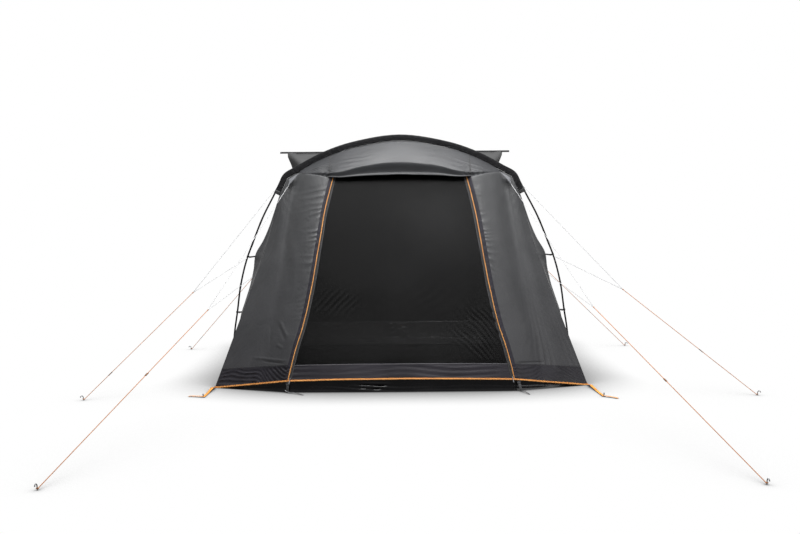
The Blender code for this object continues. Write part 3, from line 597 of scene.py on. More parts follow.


# Woven cloth, coated or not: two tones, a weave, small creases, some dust near the ground and, where low is set,
# painted shade that darkens it towards the ground.
def wovenLook(name, settings):
    s = {"threads": 1400.0, "weave": 0.25, "creases": 0.10, "creaseScale": 16.0, "stretch": (1, 1, 1), "rough": 0.55,
         "sheen": 0.15, "tones": 3.0, "dust": 0.0, "low": None, "alpha": None, "coat": 0.0, "specular": 0.5, **settings}
    look = bpy.data.materials.new(name)
    look.use_nodes = True
    tree = look.node_tree
    shader = tree.nodes["Principled BSDF"]

    def group(kind):
        made = tree.nodes.new("ShaderNodeGroup")
        made.node_tree = kind
        return made
    place = tree.nodes.new("ShaderNodeTexCoord")
    tone, weave, crease = group(toneDrift), group(plainWeave), group(fineCreases)
    tree.links.new(place.outputs["Object"], tone.inputs["Place"])
    tree.links.new(place.outputs["UV"], weave.inputs["Lengths"])
    tree.links.new(place.outputs["UV"], crease.inputs["Place"])
    tone.inputs["Scale"].default_value = s["tones"]
    tone.inputs["First"].default_value = (*s["first"], 1)
    tone.inputs["Second"].default_value = (*s["second"], 1)
    weave.inputs["Threads"].default_value = s["threads"] * pi
    crease.inputs["Scale"].default_value = s["creaseScale"]
    crease.inputs["Stretch"].default_value = s["stretch"]
    color = tone.outputs["Color"]
    if s["dust"]:
        dust, mix, share = group(groundDust), tree.nodes.new("ShaderNodeMix"), tree.nodes.new("ShaderNodeMath")
        mix.data_type = "RGBA"
        share.operation = "MULTIPLY"
        share.inputs[1].default_value = s["dust"]
        tree.links.new(place.outputs["Object"], dust.inputs["Place"])
        tree.links.new(dust.outputs["Mask"], share.inputs[0])
        tree.links.new(share.outputs[0], mix.inputs[0])
        tree.links.new(color, mix.inputs[6])
        mix.inputs[7].default_value = (0.20, 0.17, 0.13, 1)
        color = mix.outputs[2]
    # low: a colour multiplied in as painted shade towards the ground
    if s["low"]:
        shade, mix = group(paintedLowShade), tree.nodes.new("ShaderNodeMix")
        mix.data_type = "RGBA"
        mix.blend_type = "MULTIPLY"
        mix.inputs[7].default_value = (*s["low"], 1)
        tree.links.new(place.outputs["Object"], shade.inputs["Place"])
        tree.links.new(shade.outputs["Mask"], mix.inputs[0])
        tree.links.new(color, mix.inputs[6])
        color = mix.outputs[2]
    tree.links.new(color, shader.inputs["Base Color"])
    rough = tree.nodes.new("ShaderNodeMapRange")
    rough.inputs["To Min"].default_value = s["rough"] - 0.06
    rough.inputs["To Max"].default_value = s["rough"] + 0.06
    tree.links.new(tone.outputs["Fac"], rough.inputs["Value"])
    tree.links.new(rough.outputs["Result"], shader.inputs["Roughness"])
    soft, fine = tree.nodes.new("ShaderNodeBump"), tree.nodes.new("ShaderNodeBump")
    soft.inputs["Strength"].default_value = s["creases"]
    soft.inputs["Distance"].default_value = 0.02
    fine.inputs["Strength"].default_value = s["weave"]
    fine.inputs["Distance"].default_value = 0.0005
    tree.links.new(crease.outputs["Height"], soft.inputs["Height"])
    tree.links.new(weave.outputs["Height"], fine.inputs["Height"])
    tree.links.new(soft.outputs["Normal"], fine.inputs["Normal"])
    tree.links.new(fine.outputs["Normal"], shader.inputs["Normal"])
    if s["alpha"]:
        holes = tree.nodes.new("ShaderNodeMapRange")
        holes.inputs["To Min"].default_value, holes.inputs["To Max"].default_value = s["alpha"]
        tree.links.new(tone.outputs["Fac"], holes.inputs["Value"])
        tree.links.new(holes.outputs["Result"], shader.inputs["Alpha"])
    shader.inputs["Sheen Weight"].default_value = s["sheen"]
    shader.inputs["Sheen Roughness"].default_value = 0.4
    shader.inputs["Specular IOR Level"].default_value = s["specular"]
    shader.inputs["Coat Weight"].default_value = s["coat"]
    shader.inputs["Coat Roughness"].default_value = 0.25
    look.diffuse_color = (*s["second"], 1)
    return look


# Moulded plastic, rod or metal: fine grain, scuffs and a roughness that wanders.
def hardLook(name, settings):
    s = {"rough": 0.4, "metal": 0.0, "grain": 900.0, "bump": 0.06, "tones": 30.0, "stretch": (1, 1, 1),
         "specular": 0.5, **settings}
    look = bpy.data.materials.new(name)
    look.use_nodes = True
    tree = look.node_tree
    shader = tree.nodes["Principled BSDF"]
    place, tone = tree.nodes.new("ShaderNodeTexCoord"), tree.nodes.new("ShaderNodeGroup")
    tone.node_tree = toneDrift
    tone.inputs["Scale"].default_value = s["tones"]
    tone.inputs["First"].default_value = (*s["first"], 1)
    tone.inputs["Second"].default_value = (*s["second"], 1)
    tree.links.new(place.outputs["Object"], tone.inputs["Place"])
    tree.links.new(tone.outputs["Color"], shader.inputs["Base Color"])
    rough = tree.nodes.new("ShaderNodeMapRange")
    rough.inputs["To Min"].default_value = s["rough"] - 0.08
    rough.inputs["To Max"].default_value = s["rough"] + 0.10
    tree.links.new(tone.outputs["Fac"], rough.inputs["Value"])
    tree.links.new(rough.outputs["Result"], shader.inputs["Roughness"])
    shader.inputs["Metallic"].default_value = s["metal"]
    shader.inputs["Specular IOR Level"].default_value = s["specular"]
    crease, bump = tree.nodes.new("ShaderNodeGroup"), tree.nodes.new("ShaderNodeBump")
    crease.node_tree = fineCreases
    crease.inputs["Scale"].default_value = s["grain"]
    crease.inputs["Stretch"].default_value = s["stretch"]
    tree.links.new(place.outputs["UV"], crease.inputs["Place"])
    tree.links.new(crease.outputs["Height"], bump.inputs["Height"])
    bump.inputs["Strength"].default_value = s["bump"]
    bump.inputs["Distance"].default_value = 0.001
    tree.links.new(bump.outputs["Normal"], shader.inputs["Normal"])
    look.diffuse_color = (*s["second"], 1)
    return look


# shellCloth's low colour paints shade that darkens the canopy, panels, wings and rear walls towards the ground
shellCloth = wovenLook("shellCloth", {"first": (0.040, 0.041, 0.043), "second": (0.052, 0.053, 0.055), "rough": 0.50,
                                      "creases": 0.20, "creaseScale": 9.0, "dust": 0.06, "sheen": 0.10,
                                      "low": (0.42, 0.41, 0.45)})
fasciaCloth = wovenLook("fasciaCloth", {"first": (0.028, 0.029, 0.031), "second": (0.037, 0.038, 0.041), "rough": 0.45,
                                        "creases": 0.22, "creaseScale": 10.0, "stretch": (0.4, 1.6, 1), "sheen": 0.05,
                                        "specular": 0.34})
mudCloth = wovenLook("mudCloth", {"first": (0.008, 0.0075, 0.0105), "second": (0.014, 0.013, 0.018), "rough": 0.42,
                                  "creases": 0.30, "creaseScale": 14.0, "stretch": (0.5, 1.5, 1), "dust": 0.03,
                                  "sheen": 0.0, "specular": 0.28})
doorBandCloth = wovenLook("doorBandCloth", {"first": (0.013, 0.012, 0.016), "second": (0.020, 0.018, 0.024),
                                            "rough": 0.45, "creases": 0.22, "creaseScale": 9.0, "specular": 0.24,
                                            "stretch": (0.3, 2.0, 1), "dust": 0.04, "sheen": 0.0})
netting = wovenLook("netting", {"first": (0.003, 0.003, 0.003), "second": (0.005, 0.005, 0.005), "rough": 0.48,
                                "threads": 1000.0, "weave": 0.5, "creases": 0.05, "alpha": (0.68, 0.76),
                                "sheen": 0.0, "specular": 0.10})
# Paler than the rear door's own cloth: painted light for the rucked flap seen through the door net.
flapPaintedLightCloth = wovenLook("flapPaintedLightCloth", {"first": (0.10, 0.10, 0.105), "second": (0.15, 0.15, 0.155), "rough": 0.32,
                                    "creases": 0.3, "creaseScale": 20.0, "specular": 0.8})
stormCloth = wovenLook("stormCloth", {"first": (0.014, 0.013, 0.018), "second": (0.022, 0.020, 0.028), "rough": 0.6,
                                      "creases": 0.2, "creaseScale": 30.0, "sheen": 0.0, "specular": 0.2})
tunnelCloth = wovenLook("tunnelCloth", {"first": (0.064, 0.065, 0.066), "second": (0.082, 0.083, 0.084), "rough": 0.6,
                                        "creases": 0.3, "creaseScale": 12.0, "sheen": 0.1})
sleeveCloth = wovenLook("sleeveCloth", {"first": (0.006, 0.006, 0.007), "second": (0.012, 0.012, 0.013), "rough": 0.6,
                                        "creases": 0.4, "creaseScale": 22.0, "sheen": 0.0, "specular": 0.16})
bindingTape = wovenLook("bindingTape", {"first": (0.012, 0.012, 0.013), "second": (0.020, 0.020, 0.021),
                                        "rough": 0.65, "threads": 900.0, "weave": 0.6, "creases": 0.05})
tabCloth = wovenLook("tabCloth", {"first": (0.105, 0.108, 0.118), "second": (0.145, 0.148, 0.158), "rough": 0.6,
                                  "creases": 0.15, "creaseScale": 30.0})
groundVinyl = wovenLook("groundVinyl", {"first": (0.003, 0.003, 0.004), "second": (0.006, 0.006, 0.007),
                                        "rough": 0.20, "creases": 0.45, "creaseScale": 5.0, "weave": 0.12,
                                        "threads": 500.0, "sheen": 0.0, "dust": 0.02, "specular": 0.25})
pipingCloth = wovenLook("pipingCloth", {"first": (0.50, 0.20, 0.045), "second": (0.62, 0.28, 0.065), "rough": 0.6,
                                        "threads": 900.0, "weave": 0.5, "creases": 0.05, "tones": 12.0})
orangeWebbing = wovenLook("orangeWebbing", {"first": (0.80, 0.28, 0.03), "second": (0.95, 0.40, 0.05), "rough": 0.6,
                                            "threads": 550.0, "weave": 0.9, "creases": 0.05, "tones": 20.0})
orangeCord = wovenLook("orangeCord", {"first": (0.42, 0.13, 0.02), "second": (0.55, 0.20, 0.035), "rough": 0.7,
                                      "threads": 1100.0, "weave": 0.9, "creases": 0.02, "tones": 25.0})
paleCord = wovenLook("paleCord", {"first": (0.42, 0.42, 0.43), "second": (0.60, 0.60, 0.61), "rough": 0.6,
                                  "threads": 1100.0, "weave": 0.9, "creases": 0.02, "tones": 25.0})
seamThread = wovenLook("seamThread", {"first": (0.030, 0.030, 0.032), "second": (0.050, 0.050, 0.052), "rough": 0.5,
                                      "threads": 2000.0, "weave": 0.3, "creases": 0.0})
webbingThread = wovenLook("webbingThread", {"first": (0.35, 0.12, 0.02), "second": (0.50, 0.18, 0.03), "rough": 0.6,
                                            "threads": 2000.0, "weave": 0.3, "creases": 0.0})
fibreRod = hardLook("fibreRod", {"first": (0.003, 0.003, 0.003), "second": (0.006, 0.006, 0.007), "rough": 0.34,
                                 "specular": 0.15,
                                 "grain": 500.0, "stretch": (8, 1, 1)})
ferruleMetal = hardLook("ferruleMetal", {"first": (0.020, 0.020, 0.021), "second": (0.040, 0.040, 0.042),
                                         "rough": 0.30, "metal": 0.9, "grain": 300.0})
pegSteel = hardLook("pegSteel", {"first": (0.28, 0.28, 0.29), "second": (0.44, 0.44, 0.45), "rough": 0.38,
                                 "metal": 0.9, "grain": 300.0, "bump": 0.10})
darkPlastic = hardLook("darkPlastic", {"first": (0.010, 0.010, 0.011), "second": (0.018, 0.018, 0.019),
                                       "rough": 0.42})
zipPlastic = hardLook("zipPlastic", {"first": (0.028, 0.028, 0.030), "second": (0.050, 0.050, 0.053), "rough": 0.55,
                                     "specular": 0.3})
print("materials made")


# Main sheets as the frame has them, as coarse grids

def mainGrids():
    grids = {}
    halfFront = np.vstack([seamTop(form["frontArch"]), seamLeg(form["frontArch"])[1:]])
    halfRear = halfFront + (0, form["rearArch"] - form["frontArch"], 0)
    canopy = ruled(bothSides(halfFront), bothSides(halfRear), 4)
    t = np.linspace(0, 1, 5)[:, None]
    x, z = canopy[..., 0].copy(), canopy[..., 2].copy()
    canopy[..., 2] -= 0.030 * np.sin(pi * t) * np.clip((z - 1.62) / 0.4, 0, 1)
    canopy[..., 0] -= 0.020 * np.sin(pi * t) * x * np.clip(z / 0.35, 0, 1)
    grids["canopy"] = canopy
    seam, zips = seamTop(form["frontArch"]), stepsAlong(zipPoints, ((6, legSteps - 2), (7, 2)))
    line = fineLine(visorPoints)
    x = np.minimum(seam[:topSteps + 1, 0], visorPoints[-1][0])
    visor = np.c_[x, np.interp(x, line[:, 0], line[:, 1]), np.interp(x, line[:, 0], line[:, 2])]
    grids["fascia"] = ruled(bothSides(seam[:topSteps + 1]), bothSides(visor), 3)
    leg = seamLeg(form["frontArch"])
    corner = stepsAlong([tuple(leg[0])] + cornerLine + [form["corner"]], ((len(cornerLine) + 1, legSteps),))
    near = [leg[0] * 0.75 + leg[1] * 0.25], [corner[0] * 0.75 + corner[1] * 0.25]
    grids["wing"] = ruled(np.vstack([near[1], corner[1:]]), np.vstack([near[0], leg[1:]]), 3)
    top = np.vstack([zips[:1], visor[7:], seam[topSteps + 1:]])
    top[1, 2] -= 0.003
    hem = resample(np.array([zipPoints[-1], form["corner"]]), len(top) - 1)
    grids["panel"] = coons(top, hem, zips, corner)
    rearSeam = seamTop(form["rearArch"])
    start = rearSeam[topSteps]
    middle = start * 0.45 + np.array(form["tunnelFoot"]) * 0.55 + (-0.02, 0.02, 0)
    tunnelSeam = stepsAlong([tuple(start), tuple(middle), form["tunnelFoot"]], ((2, legSteps),))
    rearLeg, rearCorner = seamLeg(form["rearArch"]), (1.50, form["rearHem"], 0.0)
    low = resample(np.array([form["tunnelFoot"], rearCorner]), 3)
    turn = resample(np.array([rearCorner, tuple(rearLeg[-1])]), 3)
    grids["rearWall"] = coons(rearSeam[topSteps:], np.vstack([low, turn[1:]]), tunnelSeam, rearLeg)
    sill = resample(np.array([(-form["tunnelFoot"][0], form["rearHem"], 0), form["tunnelFoot"]]), 2 * topSteps)
    grids["rearDoor"] = coons(bothSides(rearSeam[:topSteps + 1]), sill, mirrored(tunnelSeam, -1), tunnelSeam)
    fasciaRow = grids["fascia"][2][topSteps - 6:topSteps + 7]
    head = fasciaRow + unit(room - fasciaRow) * (0.005 + 3 * form["gap"])
    across = head[:, 0] / head[-1, 0]
    rows = [head]
    for x, y, z in zips:
        low = np.clip((0.45 - z) / 0.36, 0, 1)
        rows.append(np.c_[across * x, y + (form["sillY"] - zipPoints[-1][1]) * low * (1 - across**2),
                          z + (form["sillZ"] - zipPoints[-1][2]) * low * (1 - across**2)])
    grids["door"] = np.array(rows)
    grids["zips"] = zips
    front = archPoints[:topSteps + 1] - 0.030 * archOut[:topSteps + 1]
    front = np.c_[front[:, 0], np.full(len(front), form["rearArch"] + 0.008), front[:, 1]]
    endY = form["stripY"] - form["stripDeep"] / 2 - form["gap"]
    end = [(x, endY, z) for x, z in tunnelEnd]
    backTop = resample(np.array([(0, endY, form["stripZ"]), end[0]]), topSteps)
    endLine = stepsAlong(end, ((len(end) - 1, legSteps),))
    joint = tunnelSeam + unit(tunnelSeam - room) * 2 * form["gap"] + (0, form["gap"], 0)
    joint[0] = front[-1]
    joint[:, 2] = np.maximum(joint[:, 2], 2 * form["gap"])
    back = bothSides(np.vstack([backTop, endLine[1:]])) + (form["stripX"], 0, 0)
    grids["tunnel"] = ruled(bothSides(np.vstack([front, joint[1:]])), back, 4)
    return grids


grids = mainGrids()
mudTop = 0.14  # height of the mud band's seam at the corners


# Canopy: one curved sheet from hem to hem, over both walls and the roof

canopyLook = {"rows": 88, "roofCols": 150, "bandCols": 6, "pleat": 0.0035, "billow": 0.010, "ripple": 0.0035}


def makeCanopy(s):
    grid = grids["canopy"]
    legZ = surfaceAt(grid, np.zeros(400), np.linspace(0, 12, 400))[:, 2]
    edge = float(np.interp(mudTop, legZ, np.linspace(0, 12, 400)))
    u = np.r_[np.linspace(0, edge, s["bandCols"] + 1), np.linspace(edge, 56 - edge, s["roofCols"] + 1)[1:],
              np.linspace(56 - edge, 56, s["bandCols"] + 1)[1:]]
    v = np.linspace(0, 4, s["rows"] + 1)
    plain = surfaceAt(grid, v[:, None], u[None])
    across, down = spans(plain)
    run, depth = across - across[:, -1:] / 2, down
    near = np.minimum(depth, depth[-1:] - depth)
    z = plain[..., 2]
    wallShare = ease(-z, -1.7, -1.4)
    pleats = (wave(run / 0.085 + 0.5 * cloud(run, depth, 0.25, 3)) * np.exp(-near / 0.10)
              * (0.6 + 0.5 * cloud(run, depth, 0.4, 5)))
    billow = cloud(run, depth, 0.55, 11) + 0.5 * cloud(run, depth, 0.25, 12)
    drift = depth + 0.5 * cloud(run, depth, 0.5, 21)
    ripple = wave(drift / 0.16 + 0.3 * cloud(run, depth, 0.2, 22)) * wallShare * (0.5 + 0.5 * cloud(run, depth, 0.5, 23))
    hem = wave(depth / 0.11 + 0.8 * cloud(run, depth, 0.3, 31)) * np.exp(-np.maximum(z, 0) / 0.22)
    pull = np.zeros_like(z)
    for height in form["clips"].values():
        for arch in (form["frontArch"], form["rearArch"]):
            far = np.hypot(plain[..., 1] - arch, z - height)
            turn = np.arctan2(z - height, np.abs(plain[..., 1] - arch) + 1e-6)
            pull += crests(turn * 9 / pi + 0.3) * np.exp(-far / 0.13) * ease(far, 0.01, 0.06)
    fade = ease(near, 0, 0.035) * ease(z, 0.0, 0.05)
    height = (s["pleat"] * pleats + s["billow"] * billow * ease(near, 0.05, 0.5) + s["ripple"] * ripple
              + 0.004 * hem + 0.004 * pull * wallShare) * fade - 0.0006
    look = np.zeros(len(u) - 1, int)
    look[:s["bandCols"]] = 1
    look[-s["bandCols"]:] = 1
    clothPiece("canopy", pushed(plain, height), [shellCloth, mudCloth],
               ("roof_panel", "side_wall_left", "side_wall_right"), plain,
               look=look[None, :])
    lines = []
    for k in (s["bandCols"], len(u) - 1 - s["bandCols"]):
        lines += [pushed(plain, height + 0.0012)[:, k - 1] * (1, 1, 1)]
    for row in (1, len(v) - 2):
        lines.append(pushed(plain, height + 0.0012)[row, 3:-3])
    rowAlong("canopy_stitches", lines, stitchSize, seamThread)
    print("canopy", plain.shape)


makeCanopy(canopyLook)


# Front fascia: bulges under the sleeve, folds at its side seams, with a rolled free edge over the door

fasciaLook = {"rows": 84, "cols": 220, "bulge": 0.036, "crest": 0.68, "tuck": 0.60, "sideFold": 0.0050, "drape": 0.0018,
              "seamX": 0.60, "hemR": 0.0055}


# The fascia swells to a crest that sinks towards its seams, tucks in below it and comes out again at the hem.
def fasciaSwell(x, t, s):
    share = np.minimum(np.abs(x) / s["seamX"], 1)
    crest = s["crest"] + 0.20 * share**1.6 + 0.025 * cloud(x, t * 0, 0.16, 46)
    tuck = crest + (1 - crest) * 0.70
    swell = np.sin(pi / 2 * np.clip(t / crest, 0, 1))
    swell = np.where(t > crest, 1 - (1 + s["tuck"]) * ease(t, crest, tuck), swell)
    swell = np.where(t > tuck, -s["tuck"] * (1 - ease(t, tuck, 1)), swell)
    return s["bulge"] * swell * (1 - 0.60 * share**1.5) * (1 - ease(np.abs(x), 0.60, 0.84))


def makeFascia(s):
    grid = grids["fascia"]
    plain = denser(grid, s["rows"], s["cols"])
    across, down = spans(plain)
    x, t = plain[..., 0], down / down[-1:]
    middle = 1 - ease(np.abs(x), 0.50, 0.86)
    side = ease(np.abs(x), 0.50, 0.61) * (1 - ease(np.abs(x), 0.80, 0.86))
    fine = (crests(down / 0.023 + 0.9 * cloud(x, down, 0.13, 41) + np.abs(x) * 1.5)
            * (0.50 + 0.6 * cloud(x, down, 0.09, 42)) * ease(t, 0.30, 0.62))
    drape = (wave(down / 0.052 + 0.7 * cloud(x, down, 0.30, 43) + np.abs(x) * 0.8) * ease(np.abs(x), 0.12, 0.50)
             * ease(t, 0.25, 0.5) * (0.4 + 0.6 * cloud(x, down, 0.2, 47)))
    pinch = (crests((x * 0.8 + down * 0.6) / 0.05) * np.exp(-((x - 0.06) / 0.14) ** 2) * np.exp(-(down / 0.05) ** 2)
             * ease(down, 0.0, 0.012))
    edge = ease(t, 0, 0.05) * (1 - 0.7 * ease(t, 0.95, 1))
    height = (fasciaSwell(x, t, s) + s["sideFold"] * fine * side + s["drape"] * drape
              + 0.0016 * pinch + 0.003 * cloud(x, down, 0.30, 44) * middle) * edge
    made = pushed(plain, height)
    low = made[-1]
    sway = 0.0035 * cloud(low[:, 0], low[:, 0] * 0, 0.16, 45) * (1 - ease(np.abs(low[:, 0]), 0.50, 0.60))
    made[-3:, :, 2] += sway
    clothPiece("fascia_cloth", made, [fasciaCloth], ("front_fascia",), plain)
    edgeLine = made[-1]
    free = np.abs(edgeLine[:, 0]) < s["seamX"]
    hemLine = edgeLine[free] + (0, -0.002, 0.001)
    roll = build("fascia_hem", [sweep(hemLine, circle(s["hemR"], 10) * (0.75, 1.0), up=(0, 0, 1))], [fasciaCloth])
    carry(roll)
    lines = [pushed(plain, height + 0.0010)[-4][free]]
    tapes = []
    for sign in (-1, 1):
        column = int(np.argmin(np.abs(plain[-1, :, 0] - sign * s["seamX"])))
        ridge = pushed(plain, height + 0.0006)[:, column]
        tapes.append(sweep(ridge[1:-1], strap(0.010, 0.0012), up=outwardNormals(plain, room)[1:-1, column]))
        for shift in (-1, 1):
            lines.append(pushed(plain, height + 0.0012)[2:-2, column + shift])
    carry(build("fascia_seam_tapes", tapes, [bindingTape]))
    rowAlong("fascia_stitches", lines, stitchSize, seamThread)
    print("fascia")


makeFascia(fasciaLook)


# Front panels beside the door and the wings back to the pole

panelLook = {"rowsAbove": 230, "rowsBelow": 18, "cols": 84, "bandTop": (0.215, 0.145), "roll": 0.0040,
             "left": {"gather": 0.0062, "reach": 0.15, "slack": 0.0014, "hem": 0.0030, "hemReach": 0.075, "hemFrom": 0.45,
                      "band": 0.0046, "bandSlope": 0.42,
                      "folds": (((1.071, 0.50), (1.071, 0.34), 0.007, -0.0040),
                                ((0.992, 0.543), (0.925, 0.430), 0.010, 0.0050),
                                ((0.995, 0.500), (0.945, 0.400), 0.008, -0.0040),
                                ((1.010, 0.365), (0.960, 0.340), 0.009, 0.0040),
                                ((1.20, 0.250), (0.93, 0.245), 0.008, 0.0035),
                                ((1.12, 0.228), (0.95, 0.222), 0.006, -0.0030))},
             "right": {"gather": 0.0040, "reach": 0.10, "slack": 0.0012, "hem": 0.0042, "hemReach": 0.19, "hemFrom": 0.28,
                       "band": 0.0018, "bandSlope": -0.12,
                       "folds": (((1.190, 1.035), (1.262, 0.900), 0.012, -0.0070),
                                 ((1.222, 1.10), (1.262, 1.00), 0.010, 0.0050),
                                 ((0.93, 0.215), (1.17, 0.205), 0.007, -0.0040))}}


def panelRelief(plain, s, side, seed):
    across, down = spans(plain)
    x, z, width = plain[..., 0], plain[..., 2], across[:, -1:]
    a, b = across, width - across
    over = z - np.interp(a[0] / width[0], (0, 1), panelLook["bandTop"])[None]
    patchy = np.clip(0.55 + 0.9 * cloud(a * 0.5, down, 0.13, seed), 0, 1)
    reach = s["reach"] * (1 + 0.6 * cloud(a * 0, down, 0.09, seed + 8))
    drift = (down - 0.32 * a) / 0.054 + 1.0 * cloud(a * 0.6, down, 0.12, seed + 1)
    gather = (ridges(drift, 1.7) * np.exp(-(a / reach) ** 1.5) * patchy
              * (0.30 * ease(z, 0.45, 0.6) + 0.70 * ease(z, 0.85, 1.1)) * (1 - 0.6 * ease(z, 1.60, 1.70)))
    lean = 0.23 - 0.33 * ease(a / width, 0.4, 1)
    hem = (crests((a - lean * over) / 0.053 + 0.35 * cloud(a, down, 0.20, seed + 4))
           * np.exp(-np.maximum(over, 0) / s["hemReach"]) * ease(a / width, s["hemFrom"], s["hemFrom"] + 0.2)
           * (0.55 + 0.6 * cloud(a, down * 0.3, 0.12, seed + 9)) * ease(over, -0.02, 0.03))
    slack = wave(a / 0.23 + down * 0.25 + 0.6 * cloud(a, down * 0.5, 0.25, seed + 5)) * ease(a, 0.08, 0.2)
    band = (crests((down + a * s["bandSlope"]) / 0.034 + 0.6 * cloud(a, down, 0.14, seed + 6)) * ease(-over, 0.0, 0.02))
    tugFar = np.hypot(b, np.maximum(1.66 - z, 0))
    tug = (crests(np.arctan2(b + 0.01, np.maximum(1.70 - z, 0.01)) * 5) * np.exp(-tugFar / 0.16)
           * ease(tugFar, 0.02, 0.08))
    lines = sum(depth * foldAlong(x, z, p, q, wide) for p, q, wide, depth in s["folds"])
    fade = ease(a, 0.006, 0.040) * ease(b, 0, 0.030) * ease(down, 0, 0.015) * ease(down[-1:] - down, 0, 0.010)
    return (s["gather"] * gather + s["hem"] * hem + s["slack"] * slack + s["band"] * band + 0.0025 * tug + lines
            + panelLook["roll"] * cloud(a, down, 0.33, seed + 7) + 0.0011 * cloud(a, down, 0.075, seed + 3)) * fade - 0.0004


def makePanels(s):
    for label, side in sides.items():
        plain = bandedRows(grids["panel"], s["rowsAbove"], s["rowsBelow"], s["cols"], s["bandTop"])
        height = panelRelief(plain, s[label], side, 60 if side < 0 else 80)
        made, look = pushed(plain, height), np.zeros(s["rowsAbove"] + s["rowsBelow"], int)
        look[s["rowsAbove"]:] = 1
        clothPiece("front_panel_cloth_" + label, mirrored(made, side), [shellCloth, mudCloth],
                   ("front_panel_" + label,), mirrored(plain, side), inside=room, look=look[:, None])
        seamed = pushed(plain, height + 0.0010)
        lines = [seamed[s["rowsAbove"] - 1, 1:-1], seamed[s["rowsAbove"] + 1, 1:-1], seamed[3:-2, 2],
                 seamed[3:-2, -2]]
        rowAlong("front_panel_stitches_" + label, [mirrored(line, side) for line in lines], stitchSize, seamThread)
        wing = bandedRows(np.transpose(grids["wing"], (1, 0, 2)), 96, 8, 16, (0.145, mudTop))
        across, down = spans(wing)
        z = wing[..., 2]
        slack = (0.004 * cloud(across, down, 0.12, 90 + side) + 0.003 * wave(down / 0.09) * cloud(across, down, 0.2, 92))
        mid = np.clip(across / across[:, -1:], 0, 1)
        height = slack * np.sin(pi * mid) - 0.006 * np.sin(pi * mid) * ease(z, 0.1, 0.5) - 0.0004
        look = np.zeros(104, int)
        look[96:] = 1
        clothPiece("front_wing_cloth_" + label, mirrored(pushed(wing, height), side), [shellCloth, mudCloth],
                   ("front_wing_" + label,), mirrored(wing, side), look=look[:, None])
    print("front panels and wings")


makePanels(panelLook)


# Door: fine netting over the opening and a solid band below it

doorLook = {"rows": 34, "lowRows": 104, "cols": 180, "bandRows": 16, "sag": 0.030, "fan": 0.0085, "slant": 0.0052,
            "bandFold": 0.0017}


def makeDoor(s):
    split = legSteps - 2
    whole = grids["door"][:split + 2]
    heights = whole[:, 6, 2]
    lowFrom = float(np.interp(-0.82, -heights, np.arange(len(heights))))
    v = np.r_[np.linspace(0, lowFrom, s["rows"] + 1), np.linspace(lowFrom, split + 1, s["lowRows"] + 1)[1:]]
    net = surfaceAt(whole, v[:, None], np.linspace(0, whole.shape[1] - 1, s["cols"] + 1)[None])
    across, down = spans(net)
    a, b, z = across, across[:, -1:] - across, net[..., 2]
    x = net[..., 0]
    foot = np.hypot(x - 0.86, z - 0.16)
    turn = np.arctan2(z - 0.16, 0.86 - x)
    fan = (ridges((z * 0.66 + x * 0.75) / 0.043 + 0.4 * cloud(x, z, 0.16, 101) + turn * 0.8, 1.6)
           * np.exp(-((foot - 0.30) / 0.19) ** 2) * ease(turn, 0.30, 0.6) * (0.65 + 0.7 * cloud(x, z, 0.10, 105)))
    slant = (crests((z * 0.74 - x * 0.67) / 0.040 + 0.5 * cloud(x, z, 0.2, 102)) * (0.7 + 0.5 * cloud(x, z, 0.12, 106))
             * np.exp(-((x + 0.56) / 0.17) ** 2) * np.exp(-((z - 0.70) / 0.085) ** 2))
    long = (ridges((z * 0.80 - x * 0.60) / 0.075 + 0.5 * cloud(x, z, 0.2, 103), 3)
            * np.exp(-((x - 0.26) / 0.16) ** 2) * np.exp(-((z - 0.75) / 0.12) ** 2))
    head = -np.exp(-((down - 0.06) / 0.05) ** 2) * np.cos(pi * np.clip(x / 1.2, -0.5, 0.5))
    fade = ease(a, 0, 0.03) * ease(b, 0, 0.03) * ease(down, 0, 0.02) * ease(down[-1:] - down, 0, 0.04)
    height = (s["sag"] * head + s["fan"] * fan + s["slant"] * slant + 0.0014 * long
              + 0.005 * cloud(x, z, 0.35, 104)) * fade - 0.001
    clothPiece("door_net", pushed(net, height), [netting], ("door_mesh",), net)
    band = denser(grids["door"][split + 1:], s["bandRows"], s["cols"])
    across, down = spans(band)
    x = band[..., 0]
    edge = ease(down, 0, 0.01) * ease(down[-1:] - down, 0, 0.008) * ease(across, 0, 0.02)
    edge = edge * ease(across[:, -1:] - across, 0, 0.02)
    fold = wave(down / 0.046 + 0.9 * cloud(x, down, 0.45, 111)) * (0.6 + 0.5 * cloud(x, down, 0.3, 112))
    height = (s["bandFold"] * fold + 0.0016 * cloud(x, down, 0.2, 113)) * edge - 0.0004
    clothPiece("door_band", pushed(band, height), [doorBandCloth], ("door_mud_wall",), band)
    top = pushed(band, height + 0.001)
    rowAlong("door_stitches", [top[1, 2:-2], top[-2, 2:-2]], stitchSize, seamThread)
    print("door")


makeDoor(doorLook)


# Rear: two walls and the closed doorway between them

rearLook = {"rowsAbove": 96, "rowsBelow": 8, "cols": 40, "doorCols": 96,
            "flap": {"half": 1.06, "cols": 160, "rows": 48, "rise": 0.20, "run": 0.42, "ruck": 0.034,
                     "lean": 0.042, "clear": 0.020}}
